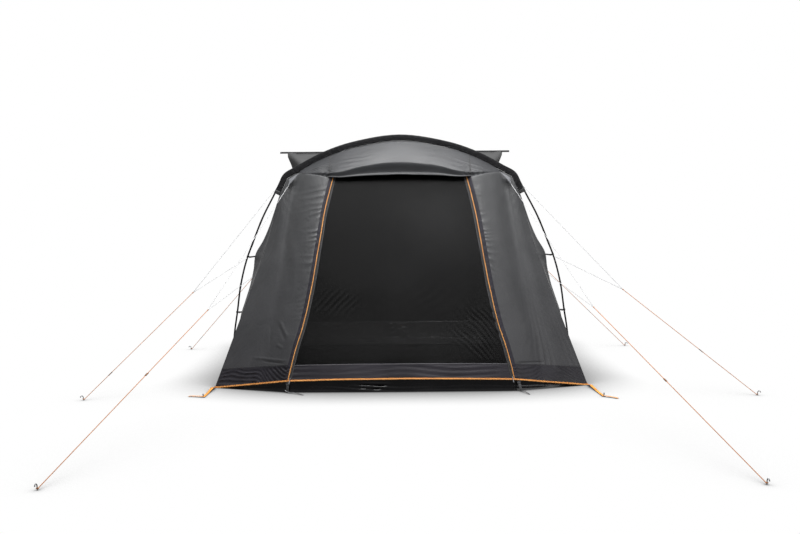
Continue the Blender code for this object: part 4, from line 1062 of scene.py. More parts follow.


# The loose foot of the rear doorway, rucked up on the groundsheet inside. Its cloth is painted paler than the rear
# door, painted light that shows its rucks through the door net.
def makeFlap(s):
    x = np.linspace(-s["half"], s["half"], s["cols"] + 1)[None]
    t = np.linspace(0, 1, s["rows"] + 1)[:, None]
    length = s["rise"] + s["run"]
    climb = np.clip(1 - t * length / s["rise"], 0, 1)
    lie = np.clip((t * length - s["rise"]) / s["run"], 0, 1)
    back = form["rearHem"] - 0.022 - s["lean"] * climb - 0.05 * (1 - climb) ** 2 - s["run"] * lie
    plain = np.stack([x + 0 * t, back + 0 * x, s["clear"] + s["rise"] * climb ** 1.2 + 0 * x], axis=-1)
    run = t * length
    heap = ease(np.abs(x + 0.32), 0.06, 0.22) * (0.55 + 0.45 * cloud(x, run * 0, 0.30, 161))
    folds = (1.4 - np.abs(cloud(x * 0.5, run, 0.060, 162)) - 0.8 * np.abs(cloud(x * 0.7 + run, run, 0.050, 163))
             - 0.6 * np.abs(cloud(x - run * 0.8, run, 0.040, 164)))
    lift = s["ruck"] * np.maximum(folds, 0) * heap * ease(t + 0 * x, 0, 0.06) * ease(1 - t + 0 * x, 0, 0.15)
    made = plain + np.stack([0 * lift, -lift * climb, lift * (1 - 0.7 * climb)], axis=-1)
    clothPiece("rear_door_flap", made, [flapPaintedLightCloth], (), plain,
               inside=(0, form["rearHem"] + 0.5, -0.4), wall=0.0010)


def makeRear(s):
    look = np.zeros(s["rowsAbove"] + s["rowsBelow"], int)
    look[s["rowsAbove"]:] = 1
    for label, side in sides.items():
        plain = bandedRows(grids["rearWall"], s["rowsAbove"], s["rowsBelow"], s["cols"], (mudTop, mudTop))
        across, down = spans(plain)
        a, b, z = across, across[:, -1:] - across, plain[..., 2]
        folds = (wave(a / 0.09 + 0.6 * cloud(a, down, 0.3, 121 + side)) * np.exp(-np.abs(z - 0.3) / 0.3)
                 + wave(down / 0.08 + 0.7 * cloud(a, down, 0.2, 131 + side)) * np.exp(-a / 0.12))
        fade = ease(a, 0, 0.02) * ease(b, 0, 0.03) * ease(down, 0, 0.03) * ease(down[-1:] - down, 0, 0.02)
        height = (0.0035 * folds + 0.008 * cloud(a, down, 0.35, 141 + side)) * fade - 0.0005
        clothPiece("rear_wall_cloth_" + label, mirrored(pushed(plain, height), side), [shellCloth, mudCloth],
                   ("rear_wall_" + label,), mirrored(plain, side), look=look[:, None])
    plain = bandedRows(grids["rearDoor"], s["rowsAbove"], s["rowsBelow"], s["doorCols"], (mudTop, mudTop))
    across, down = spans(plain)
    x, z = plain[..., 0], plain[..., 2]
    folds = wave(x / 0.13 + 0.7 * cloud(x, z, 0.35, 151)) * np.exp(-z / 0.5) + 0.6 * wave(
        down / 0.10 + 0.6 * cloud(x, z, 0.3, 152)) * ease(np.abs(x), 0.5, 1.0)
    fade = (ease(across, 0, 0.03) * ease(across[:, -1:] - across, 0, 0.03) * ease(down, 0, 0.03)
            * ease(down[-1:] - down, 0, 0.02))
    height = (0.004 * folds + 0.010 * cloud(x, z, 0.45, 153)) * fade - 0.001
    clothPiece("rear_door_cloth", pushed(plain, height), [shellCloth, mudCloth], ("rear_door",), plain,
               look=look[:, None])
    makeFlap(s["flap"])
    face = pushed(plain, height + 0.0035)
    for label, column in (("left", 14), ("right", s["doorCols"] - 14)):
        line = face[6:-5, column]
        rowAlong("rear_zip_teeth_" + label, [line], zipSize, zipPlastic)
        tape = sweep(line - outwardNormals(plain, room)[6:-5, column] * 0.0026, strap(0.026, 0.0012),
                     up=outwardNormals(plain, room)[6:-5, column])
        carry(build("rear_zip_tape_" + label, [tape], [bindingTape]))
    print("rear")


makeRear(rearLook)


# Groundsheet: glossy and crumpled, with a lip up to the front hem

groundLook = {"cols": 150, "lipRows": 14, "floorRows": 90, "lipFold": 0.0070, "crumple": 0.010, "wall": 0.0012}


def frontHem(count):
    sill = grids["door"][-1][6:]
    half = np.vstack([sill, resample(np.array([zipPoints[-1], form["corner"]]), 10)[1:]])
    return resample(half, count)


def makeGround(s):
    half = frontHem(s["cols"] // 2)
    half = half[half[:, 2] > 0.006]
    hem = bothSides(half) + (0, 0.0012, -0.0008)
    count = len(hem)
    rows = []
    for k in range(s["lipRows"]):
        t = k / s["lipRows"]
        rows.append(np.c_[hem[:, 0], hem[:, 1] + 0.010 * sin(pi * t), hem[:, 2] * (1 - t) + 0.0016 * t])
    foot = hem * (1, 1, 0) + (0, 0, 0.0016)
    backStops = [(form["frontArch"], 1.447), (1.5, 1.447), (form["rearArch"], 1.447), (form["rearHem"] - 0.008, 1.485)]
    backX = np.interp(np.linspace(0, 1, s["floorRows"] + 1)[1:], (0, 0.26, 0.55, 0.86, 1), (1.50, 1.447, 1.447, 1.447, 1.485))
    share = np.linspace(-1, 1, count)
    for k in range(s["floorRows"] + 1):
        t = k / s["floorRows"]
        reach = 1.50 if k == 0 else backX[k - 1]
        wide = np.c_[share * reach, np.full(count, backStops[-1][0]), np.full(count, 0.0016)]
        blend = ease(np.array(t), 0, 0.22)
        flatX = (1 - blend) * foot[:, 0] + blend * wide[:, 0]
        rows.append(np.c_[flatX, foot[:, 1] * (1 - t) + wide[:, 1] * t, np.full(count, 0.0016)])
    plain = np.array(rows)
    made = plain.copy()
    across, down = spans(plain)
    x, run = plain[..., 0], down
    lip = np.zeros(plain.shape[:2])
    lip[:s["lipRows"] + 1] = 1
    t = np.clip(plain[..., 2] / np.maximum(hem[None, :, 2], 0.01), 0, 1)
    streak = crests((plain[..., 2] * 1.4 + x * 0.05) / 0.045 + 0.8 * cloud(x, plain[..., 2] * 3, 0.28, 161))
    middle = 0.35 + 1.1 * np.exp(-((x + 0.25) / 0.22) ** 2)
    made[..., 1] += s["lipFold"] * streak * lip * np.sin(pi * t) * middle * (0.7 + 0.5 * cloud(x, x * 0, 0.2, 162))
    inner = (1 - lip) * ease(run, run[s["lipRows"], count // 2] + 0.02, run[s["lipRows"], count // 2] + 0.12)
    sag = np.abs(cloud(x, run, 0.14, 163)) + 0.6 * np.abs(cloud(x, run, 0.07, 164)) + 0.8 * np.maximum(cloud(x, run, 0.4, 165), 0)
    rim = ease(across, 0, 0.05) * ease(across[:, -1:] - across, 0, 0.05) * ease(down[-1:] - down, 0, 0.05)
    made[..., 2] += s["crumple"] * sag * inner * rim
    obj = clothPiece("ground_cloth", made, [groundVinyl], ("groundsheet",), plain,
                     inside=(0, 1.5, -3), wall=s["wall"])
    return obj


makeGround(groundLook)
print("groundsheet")


# Sleeves over the poles: a teardrop that hugs the pole and gathers to the seam

sleeveLook = {"wall": 0.0016, "pucker": 0.0022, "pitch": 0.055, "fine": 150, "tab": 0.026}


def makeSleeve(name, node, depth, s, seed):
    pts, out = halfArch(((4, 90), (7, 40)))
    half = np.c_[pts[:, 0], np.full(len(pts), depth), pts[:, 1]]
    path = bothSides(half)
    normal = bothSides(np.c_[out[:, 0], np.zeros(len(out)), out[:, 1]])
    run = np.r_[0, np.cumsum(np.linalg.norm(np.diff(path, axis=0), axis=1))]
    r = form["poleR"] + form["gap"] + s["wall"]
    turn = np.linspace(0, 2 * pi, 20, endpoint=False)
    down = np.linspace(0.25, 1, 6)
    front = [(r * sin(a), r * cos(a)) for a in np.linspace(-pi / 2, pi / 2, 9)]
    drop = form["sleeveDrop"] - 0.0008
    right = [(0.0078 * (1 - k) + 0.0042 * k + 0.0016 * sin(pi * k), -0.003 * (1 - k) - drop * k) for k in down]
    outline = np.array(front + right + [(-w, h) for w, h in right[::-1]])
    share = np.clip(-outline[:, 1] / drop, 0, 1)
    wobble = np.array([s["pucker"] * (wave(run / s["pitch"] + 0.6 * cloud(run, run * 0, 0.12, seed))
                                      * (0.5 + 0.5 * cloud(run, run * 0, 0.3, seed + 1))
                                      + 0.5 * wave(run / 0.021 + cloud(run, run * 0, 0.05, seed + 2)))]).T
    section = np.broadcast_to(outline, (len(path), *outline.shape)).copy()
    section[..., 0] += wobble * np.sin(pi * np.clip(share, 0, 1))[None] * 1.0
    section[..., 1] = np.where(outline[:, 1] > 0, outline[:, 1] + 0.0004 * wobble / s["pucker"], outline[:, 1])
    side = np.broadcast_to((0.0, 1.0, 0.0), path.shape)
    points = path[:, None] + side[:, None] * section[..., :1] + normal[:, None] * section[..., 1:]
    obj = build(name, [patch(points, 0, wrap=True)], [sleeveCloth], 70)
    wall = obj.modifiers.new("wall", "SOLIDIFY")
    wall.thickness = 0.0010
    wall.offset = -1
    carry(obj, (node,))
    perimeter = float(spans(np.concatenate([points, points[:, :1]], axis=1))[0][:, -1].mean())
    flatSizes[name] = (round(perimeter, 3), round(float(run[-1]), 2))
    lines = []
    for face in (1, -1):
        lines.append(path + normal * (-0.034) + side * face * 0.0072)
    rowAlong(name + "_stitches", lines, stitchSize, seamThread)
    bands = []
    for end in (0, -1):
        reach = slice(0, 5) if end == 0 else slice(-5, None)
        fat = section[reach].copy()
        grow = unit(outline) * 0.0009
        ring = path[reach][:, None] + side[reach][:, None] * (fat + grow)[..., :1] + normal[reach][:, None] * (fat + grow)[..., 1:]
        bands.append(patch(ring, 0, wrap=True))
    band = build(name + "_end_bands", bands, [bindingTape], 70)
    thick = band.modifiers.new("wall", "SOLIDIFY")
    thick.thickness = 0.0008
    thick.offset = 1
    carry(band)


makeSleeve("front_pole_sleeve_cloth", "front_pole_sleeve", form["frontArch"], sleeveLook, 171)
makeSleeve("rear_pole_sleeve_cloth", "rear_pole_sleeve", form["rearArch"], sleeveLook, 181)
print("sleeves")


# Poles: fibre rods with metal ferrules where their sections join

poleLook = {"rodR": 0.0073, "ferrules": (1.36, 1.17, 0.80, 0.36), "ferruleLength": 0.050, "ferruleR": 0.0081}


def makePole(name, node, depth, s):
    pts, out = halfArch(((4, 60), (7, 40), (15, 120)))
    half = np.c_[pts[:, 0], np.full(len(pts), depth), pts[:, 1]]
    path = bothSides(half)
    bare = len(halfArch(((4, 60), (7, 40)))[0]) - 1
    half[-1, 2] = 0.0006
    middle = path[len(half) - 1 - bare:len(half) + bare]
    parts = [sweep(middle, circle(form["poleR"] - 0.0002, 14), 0)]
    for side in (-1, 1):
        parts.append(sweep(mirrored(half[bare - 2:], side), circle(s["rodR"], 14), 0))
    for side in (-1, 1):
        for height in s["ferrules"]:
            k = int(np.argmin(np.abs(pts[100:, 1] - height))) + 100
            along = unit(half[k + 1] - half[k - 1])
            length, r = s["ferruleLength"] / 2, s["ferruleR"]
            stops = [(-length, s["rodR"]), (-length + 0.001, r), (length - 0.001, r), (length, s["rodR"])]
            line = mirrored([half[k] + along * d for d, _ in stops], side)
            parts.append(sweep(line, circle(1, 14), 1, scale=[w for _, w in stops]))
        foot = half[-1] * (side, 1, 0)
        parts.append(sweep([foot + (0, 0, 0.0006), foot + (0, 0, 0.002), foot + (0, 0, 0.030), foot + (0, 0, 0.034)],
                           circle(1, 14), 2, scale=[0.0072, 0.0092, 0.0092, 0.0078]))
    obj = build(name, parts, [fibreRod, ferruleMetal, darkPlastic], merge=True)
    carry(obj, (node,))


makePole("front_pole_rod", "front_pole", form["frontArch"], poleLook)
makePole("rear_pole_rod", "rear_pole", form["rearArch"], poleLook)


# Clips that hook the cloth to the bare pole

clipLook = {"ringR": 0.0092, "ringTall": 0.015, "strapWide": 0.013, "strapThick": 0.0026}


def onArch(height):
    order = np.argsort(archPoints[shoulder:, 1])
    return float(np.interp(height, archPoints[shoulder:, 1][order], archPoints[shoulder:, 0][order]))


def onSeam(height):
    leg = seamLeg(0)[::-1]
    return float(np.interp(height, leg[:, 2], leg[:, 0]))


def makeClips(s):
    for arch, depth in (("front", form["frontArch"]), ("rear", form["rearArch"])):
        for level, height in form["clips"].items():
            x, seam = onArch(height), onSeam(height)
            lean = unit(np.array((onArch(height + 0.02) - onArch(height - 0.02), 0, 0.04)))
            center = np.array((x, depth, height))
            inward = unit(np.cross((0, 1, 0), lean))
            inward *= -np.sign(inward[0])
            ring = [center + (inward * cos(a) + np.array((0, 1, 0)) * sin(a)) * s["ringR"]
                    for a in np.linspace(radians(28), radians(332), 26)]
            neck = [center + inward * (s["ringR"] + d) for d in (-0.001, 0.004, 0.009, 0.012)]
            start, stop = center + inward * (s["ringR"] + 0.009), np.array((seam - 0.012, depth, height))
            parts = [sweep(ring, strap(s["ringTall"], 0.0024), 0, up=[unit(p - center) for p in ring]),
                     sweep(neck, strap(0.0036, 0.012), 0, up=lean, scale=[1.2, 1.0, 1.0, 1.4])]
            slot = [start + (0, d * 0.0045, 0) + lean * e * 0.0080
                    for d, e in ((1, 1), (-1, 1), (-1, -1), (1, -1))]
            slot = resample(np.array(slot + slot[:1]), 16)[:-1]
            parts.append(sweep(slot, circle(0.0016, 8), 0, loop=True))
            band = resample(np.array([start, start * 0.5 + stop * 0.5 + (0, 0, 0.0012), stop]), 10)
            parts.append(sweep(band, strap(s["strapWide"], s["strapThick"]), 1, up=(0, 1, 0)))
            patchSpot = resample(np.array([stop + (0.004, 0, 0), stop - (0.018, 0, 0)]), 4)
            parts.append(sweep(patchSpot, strap(0.022, 0.0022), 1, up=(0, 1, 0)))
            for label, side in sides.items():
                both = [{**part, "points": mirrored(part["points"], side)} for part in parts]
                obj = build(f"pole_clip_{arch}_{level}_{label}", both, [darkPlastic, bindingTape])
                carry(obj, (f"{arch}_clip_{level}_{label}",))


makeClips(clipLook)
print("poles and clips")


# Tunnel back to the vehicle, bound in dark tape, and the strip at its end

tunnelLook = {"rows": 44, "cols": 180, "binding": 0.012}


def makeTunnel(s):
    plain = denser(grids["tunnel"], s["rows"], s["cols"])
    across, down = spans(plain)
    x, z = plain[..., 0], plain[..., 2]
    run = across - across[:, -1:] / 2
    near = np.minimum(down, down[-1:] - down)
    slack = cloud(run, down, 0.30, 191) + 0.6 * cloud(run, down, 0.14, 192)
    hang = wave(down / 0.16 + 0.6 * cloud(run, down, 0.4, 193)) * ease(-z, -1.9, -1.5)
    pleat = wave(run / 0.07 + 0.5 * cloud(run, down, 0.2, 194)) * np.exp(-near / 0.08)
    fade = ease(near, 0, 0.03) * ease(z, 0, 0.05)
    height = (0.010 * slack + 0.006 * hang + 0.003 * pleat) * fade - 0.0005
    made = pushed(plain, height, passage)
    made[..., 2] = np.maximum(made[..., 2], 0.0015)
    clothPiece("tunnel_cloth", made, [tunnelCloth],
               ("tunnel_roof", "tunnel_wall_left", "tunnel_wall_right"), plain, inside=passage)
    edge = made[-1] + (0, -0.004, 0)
    normal = outwardNormals(plain, passage)[-1]
    half = len(edge) // 2
    turn = int(half * 10.2 / 22)
    binds = []
    for part in (slice(0, half - turn), slice(half + turn, len(edge))):
        binds.append(sweep(edge[part], strap(s["binding"], 0.0034), up=normal[part]))
    carry(build("tunnel_binding", binds, [bindingTape]))
    rowAlong("tunnel_stitches", [made[-2] + normal * 0.002, made[2] + outwardNormals(plain, passage)[2] * 0.0015],
             stitchSize, seamThread)


makeTunnel(tunnelLook)

stripLook = {"bead": 0.0055, "tape": 0.013}


def makeStrip(s):
    y, z, half = form["stripY"], form["stripZ"], form["stripHalf"]
    line = np.array([(x + form["stripX"], y, z) for x in np.linspace(-half + 0.002, half - 0.002, 60)])
    sway = 0.0008 * cloud(line[:, 0], line[:, 0] * 0, 0.15, 201)
    line = line + np.c_[sway * 0, sway * 0, sway]
    parts = [sweep(line, strap(0.018, 0.015, 3), 0, up=(0, 0, 1)),
             sweep(line + (0, 0.0045, 0.0055), circle(s["bead"], 10), 0),
             sweep(line + (0, -0.0040, -0.0070), strap(s["tape"], 0.008, 3), 0, up=(0, 0, 1))]
    carry(build("vehicle_keder", parts, [bindingTape]), ("vehicle_strip",))
    rowAlong("keder_stitches", [line + (0, -0.0094, 0.003), line + (0, -0.0108, -0.006)], stitchSize, seamThread)


makeStrip(stripLook)
print("tunnel and strip")


# Zips with orange piping, storm strips, coils and pullers

zipLook = {"pipingR": 0.0038, "flange": 0.010, "stormWide": {"left": 0.026, "right": 0.032}, "coilIn": 0.013}


def zipNormals():
    zips, door, panel = grids["zips"], grids["door"], grids["panel"]
    along = np.gradient(zips, axis=0)
    one, two = np.cross(along, door[1:, -2] - zips), np.cross(along, panel[:, 1] - zips)
    one, two = unit(one) * np.sign(-unit(one)[:, 1:2]), unit(two) * np.sign(-unit(two)[:, 1:2])
    return unit(one + two), one, two


def makeZips(s):
    zips = grids["zips"]
    out, doorOut, panelOut = zipNormals()
    fine = 120
    index = np.linspace(0, len(zips) - 1, fine)[:, None]
    line = surfaceAt(np.stack([zips, zips + out], axis=1), index[:, 0], np.zeros(fine))
    normal = unit(surfaceAt(np.stack([zips, zips + out], axis=1), index[:, 0], np.ones(fine)) - line)
    doorN = unit(surfaceAt(np.stack([zips, zips + doorOut], axis=1), index[:, 0], np.ones(fine)) - line)
    panelN = unit(surfaceAt(np.stack([zips, zips + panelOut], axis=1), index[:, 0], np.ones(fine)) - line)
    along = unit(np.gradient(line, axis=0))
    toPanel = unit(np.cross(along, panelN))
    toPanel *= np.sign(toPanel[:, :1])
    toDoor = -unit(np.cross(along, doorN)) * np.sign(np.cross(along, doorN)[:, :1])
    stop = fine - 1
    for label, side in sides.items():
        wander = 0.0012 * cloud(np.arange(fine) * 0.017, np.zeros(fine), 0.12, 211 + side)[:, None]
        cord = line + normal * (s["pipingR"] + 0.0008) + toPanel * wander
        piping = sweep(mirrored(cord[:stop], side), circle(s["pipingR"], 12), 0)
        flange = sweep(mirrored((line + normal * 0.0012 + toPanel * 0.005)[:stop], side), strap(s["flange"], 0.0012), 0,
                       up=mirrored(normal[:stop], side))
        flange["look"] = [1] * len(flange["look"])
        carry(build("zip_piping_" + label, [piping, flange], [pipingCloth, bindingTape]),
              ("door_piping_" + label,))
        ripple = 0.0016 * wave(np.arange(fine) * 0.30 + 0.8 * cloud(np.arange(fine) * 0.02, np.zeros(fine), 0.1, 221))[:, None]
        wide = s["stormWide"][label]
        storm = line + panelN * (0.0048 + ripple) + toPanel * (wide / 2 + 0.005)
        obj = build("zip_storm_strip_" + label, [sweep(mirrored(storm[:stop], side), strap(wide, 0.0016), 0,
                                                       up=mirrored(panelN[:stop], side))], [stormCloth])
        carry(obj)
        tape = line + doorN * 0.0016 + toDoor * s["coilIn"]
        carry(build("zip_tape_" + label, [sweep(mirrored(tape[:stop], side), strap(0.024, 0.0014), 0,
                                               up=mirrored(doorN[:stop], side))], [bindingTape]))
        coil = line + doorN * 0.0040 + toDoor * s["coilIn"]
        rowAlong("zip_coil_" + label, [mirrored(coil[:stop], side)], zipSize, zipPlastic)
        spot = mirrored(coil[stop - 3], side)
        down = mirrored(along[stop - 3], side)
        face = mirrored(doorN[stop - 3], side)
        turn = np.stack([np.cross(down, face), down, face], axis=1)
        parts = [bead(spot + face * 0.002, (0.0060, 0.0095, 0.0045), 0, turn),
                 sweep([spot + face * 0.006 + down * d for d in (-0.004, 0.004, 0.012, 0.020, 0.040, 0.043)],
                       strap(0.0075, 0.0022), 1, up=face, scale=[0.6, 0.8, 0.6, 1.0, 1.0, 0.7])]
        carry(build("zip_puller_" + label, parts, [darkPlastic, pegSteel]))


makeZips(zipLook)


# Piping along the front hem

hemLook = {"pipingR": 0.0045}


def hemPath():
    half = frontHem(120)
    line = bothSides(half)
    along = np.gradient(line, axis=0)
    out = unit(np.c_[along[:, 1], -along[:, 0], np.zeros(len(along))])
    path = line + out * (hemLook["pipingR"] + 0.0006)
    path[:, 2] = np.maximum(path[:, 2], hemLook["pipingR"] + 0.0003)
    return path, out


def makeHem(s):
    path, out = hemPath()
    path = path + np.c_[np.zeros(len(path)), np.zeros(len(path)),
                        np.maximum(0.0012 * cloud(path[:, 0], path[:, 0] * 0, 0.2, 231), 0)]
    cord = sweep(path, circle(s["pipingR"], 12), 0)
    flange = sweep(path - out * 0.0030 + (0, 0, 0.0050), strap(0.0012, 0.009), 0, up=(0, 0, 1))
    carry(build("front_hem_piping", [cord, flange], [pipingCloth]), ("hem_piping",))


makeHem(hemLook)
print("zips and piping")


# Shoulder tabs: pale triangles from the sleeve down to the forward guy, with a small ring at each tip

tabLook = {"points": [(0.862, 0.435, 1.7755), (0.963, 0.487, 1.722), (0.955, 0.415, 1.668)]}


def makeTabs(s):
    a, b, c = (np.array(p) for p in s["points"])
    count = 16
    rows = []
    for k in range(count + 1):
        t = k / count
        left, right = a * (1 - t) + c * t, b * (1 - t) + c * t
        middle = (left + right) / 2
        half = (right - left) / 2 * (1 - 0.10 * sin(pi * t))
        wide = np.array([middle + half * w for w in np.linspace(-1, 1, 13)])
        wide[:, 1] -= 0.010 * sin(pi * min(t + 0.15, 1)) * (1 - np.linspace(-1, 1, 13) ** 2)
        rows.append(wide)
    grid = np.array(rows)
    grid[-1] = grid[-1].mean(axis=0) + (grid[-2] - grid[-2].mean(axis=0)) * 0.5
    inside = np.array((0, 1.5, 1.2))
    for label, side in sides.items():
        clothPiece("shoulder_tab_" + label, mirrored(grid, side), [tabCloth], ("storm_tab_" + label,),
                   mirrored(grid, side), inside=inside, wall=0.0012)
        eye = c + (0.0, -0.003, -0.008)
        ringPath = np.array([eye + (0.008 * cos(q), 0, 0.010 * sin(q)) for q in np.arange(20) * 2 * pi / 20])
        ring = sweep(mirrored(ringPath, side), circle(0.0016, 8), 0, loop=True)
        carry(build("tab_ring_" + label, [ring], [darkPlastic]))


makeTabs(tabLook)


# Guy lines: orange main line, slider, and pale branches where the line forks

guyLook = {"lineR": 0.0024, "branchR": 0.0018, "pegR": 0.0032}
guySpots = {("side", "left"): {"peg": (2.455, -0.499), "fork": (1.7215, 0.0894, 0.7802), "slider": 0.226},
            ("side", "right"): {"peg": (2.747, -0.503), "fork": (1.8418, 0.0875, 0.7805), "slider": 0.398},
            ("front", "left"): {"peg": (1.8905, -2.947), "fork": (1.4415, -0.70, 0.7115), "slider": 0.551},
            ("front", "right"): {"peg": (1.8905, -2.947), "fork": (1.4415, -0.70, 0.7115), "slider": 0.494},
            ("rear", "left"): {"peg": (2.231, 2.307), "fork": None, "slider": 0.107},
            ("rear", "right"): {"peg": (2.388, 2.338), "fork": None, "slider": 0.355}}


def straight(a, b, count=24):
    return np.array([np.array(a) * (1 - t) + np.array(b) * t for t in np.linspace(0, 1, count)])


def facing(direction):
    x = unit(np.array(direction, dtype=float))
    y = unit(np.cross((0, 0, 1), x))
    return np.stack([x, y, np.cross(x, y)], axis=1)


# A peg's part above the ground: a rod with a hooked head that leans away from its line.
def pegPart(foot, away, look, radius=0.0032, rise=0.030):
    a = unit(np.array((away[0], away[1], 0.0)))
    spots = [(-0.0003, 0.0004), (0, 0.010), (0.004, rise), (0.012, rise + 0.0065), (0.020, rise + 0.003), (0.0235, rise - 0.0065)]
    base = np.array((foot[0], foot[1], 0.0))
    line = fineLine([base + a * d + (0, 0, z) for d, z in spots], 6)
    line[:, 2] = np.maximum(line[:, 2], 0.0004)
    return sweep(line, circle(radius, 10), look)


def makeGuys(s):
    hitch = form["clips"]["upper"] - 0.018
    sleeveEnd = archPoints[shoulder - 1]
    ends = {"side": [(sleeveEnd[0] + 0.0085, form["frontArch"] - 0.002, sleeveEnd[1]),
                     (onArch(hitch) + 0.006, form["frontArch"] - 0.003, hitch)],
            "front": [tabLook["points"][2], (onSeam(0.88) - 0.005, form["frontArch"] - 0.014, 0.88)],
            "rear": [(onArch(hitch) + 0.004, form["rearArch"] - 0.004, hitch)]}
    for (kind, label), spot in guySpots.items():
        side = sides[label]
        peg = np.array((*spot["peg"], 0.0))
        top = np.array(spot["fork"] or ends[kind][0])
        away = peg - top
        flatAway = unit(away * (1, 1, 0))
        knot = peg + (0, 0, 0.0085) - flatAway * 0.0088
        turn = facing(mirrored(top - knot, side))
        axis, across = turn[:, 0], turn[:, 1]
        braid = sweep(mirrored(straight(knot, top), side), circle(s["lineR"], 8))
        eye = [peg + (0.0052 * cos(q), 0.0052 * sin(q), 0.0105) for q in np.arange(16) * pi / 8]
        parts = [braid, sweep(mirrored(eye, side), circle(s["lineR"], 6), loop=True),
                 bead(mirrored(knot, side), (0.0055, 0.0042, 0.0042), 0, turn)]
        if spot["fork"]:
            parts.append(bead(mirrored(top, side), (0.0075, 0.0048, 0.0048), 0, turn))
        carry(build(f"guy_line_{kind}_{label}", parts, [orangeCord]), (f"{kind}_guy_{label}",))
        if spot["fork"]:
            branches = []
            for end in ends[kind]:
                branches.append(sweep(mirrored(straight(top, end), side), circle(s["branchR"], 8)))
                branches.append(bead(mirrored(end, side), (0.0055, 0.0040, 0.0040), 0,
                                     facing(mirrored(np.array(end) - top, side))))
            carry(build(f"guy_branches_{kind}_{label}", branches, [paleCord]))
        center = mirrored(knot * (1 - spot["slider"]) + top * spot["slider"], side)
        ring = np.array([center + axis * a * 0.019 + across * b * 0.0048
                         for a, b in ((-1, 1), (1, 1), (1, -1), (-1, -1), (-1, 1))])
        slider = [sweep(resample(ring, 28)[:-1], circle(0.0021, 8), loop=True)]
        for d in (-0.010, 0.0, 0.010):
            slider.append(sweep([center + axis * d + across * w for w in (-0.0048, 0, 0.0048)], circle(0.0019, 8)))
        carry(build(f"guy_slider_{kind}_{label}", slider, [darkPlastic]))
        rod = pegPart(mirrored(peg, side), mirrored(away, side), 0, s["pegR"])
        carry(build(f"ground_peg_{kind}_{label}", [rod], [pegSteel]), (f"{kind}_guy_peg_{label}",))
    print("guy lines")


makeGuys(guyLook)


# Corner webbing: strap, ladder buckle, loose tail and a steel peg

cornerLook = {"width": 0.020, "thick": 0.0018, "rise": 0.0058,
              ("front", "left"): ((1.5405, -0.0138), (1.545, -0.420), (1.668, -0.385)),
              ("front", "right"): ((1.5405, -0.0138), (1.560, -0.510), (1.650, -0.600)),
              ("rear", "left"): ((1.5006, 2.9495), (1.63, 3.35), (1.74, 3.38)),
              ("rear", "right"): ((1.5006, 2.9495), (1.63, 3.35), (1.74, 3.38))}


def ladderBuckle(center, along, up, width, length, look):
    across = unit(np.cross(up, along))
    ring = [(1, 1), (1, -1), (-1, -1), (-1, 1), (1, 1)]
    path = resample(np.array([center + across * x * width / 2 + along * y * length / 2 for x, y in ring]), 32)[:-1]
    parts = [sweep(path, circle(0.0021, 8), look, loop=True)]
    for d in (-0.005, 0.006):
        parts.append(sweep([center + along * d + across * w * width / 2 + up * 0.0010 for w in (-1, 0, 1)], circle(0.0020, 8), look))
    return parts


def makeCorners(s):
    for end, label in ((end, label) for end in ("front", "rear") for label in sides):
        side = sides[label]
        corner, peg, tail = (np.array((*spot, s["rise"])) for spot in s[end, label])
        reach, along, turn = peg - corner, unit(peg - corner), unit(tail - peg)
        web = fineLine([corner - along * 0.004, corner + reach * 0.14 + (0, 0, 0.008), corner + reach * 0.24 + (0, 0, 0.007),
                        corner + reach * 0.6 + (0, 0, 0.0006), peg - along * 0.006 - (0, 0, 0.001)], 8)
        web[:, 2] = np.maximum(web[:, 2], 0.0022)
        run = fineLine([peg - turn * 0.008, (peg + tail) / 2 + (0, 0.004, 0.003), tail - (0, 0, 0.002)], 10)
        run[:, 2] = np.maximum(run[:, 2] + 0.0012 * np.sin(np.linspace(0, 9, len(run))), 0.0022)
        center = corner + reach * 0.17 + (0, 0, 0.0085)
        straps = [sweep(mirrored(line, side), strap(s["width"] * share, s["thick"]), 0, up=(0, 0, 1))
                  for line, share in ((web, 1.0), (web[4:22] + (0, 0, 0.0022), 0.98), (run, 0.9))]
        carry(build(f"corner_web_{end}_{label}", straps, [orangeWebbing]), (f"{end}_anchor_{label}",))
        parts = ladderBuckle(mirrored(center, side), mirrored(along, side), np.array((0, 0, 1.0)), 0.027, 0.026, 0)
        carry(build(f"corner_buckle_{end}_{label}", parts, [darkPlastic]))
        rod = pegPart(mirrored(peg, side), mirrored(along, side), 0, 0.0032, 0.026)
        carry(build(f"corner_peg_{end}_{label}", [rod], [pegSteel]))
        box = [web[row] + (w, 0, 0.002) for row, w in ((2, -0.007), (2, 0.007), (6, 0.007), (6, -0.007))]
        rowAlong(f"corner_stitches_{end}_{label}", [mirrored(box + box[:1], side)], stitchSize, webbingThread)


makeCorners(cornerLook)


# Dark tabs beside the door with their bent pegs

doorPegLook = {"left": ((0.905, -0.2428, 0.0780), (0.908, -0.270, 0.012), (0.771, -0.369, 0.0035)),
               "right": ((0.939, -0.2300, 0.0780), (0.953, -0.273, 0.012), (1.003, -0.410, 0.0035))}


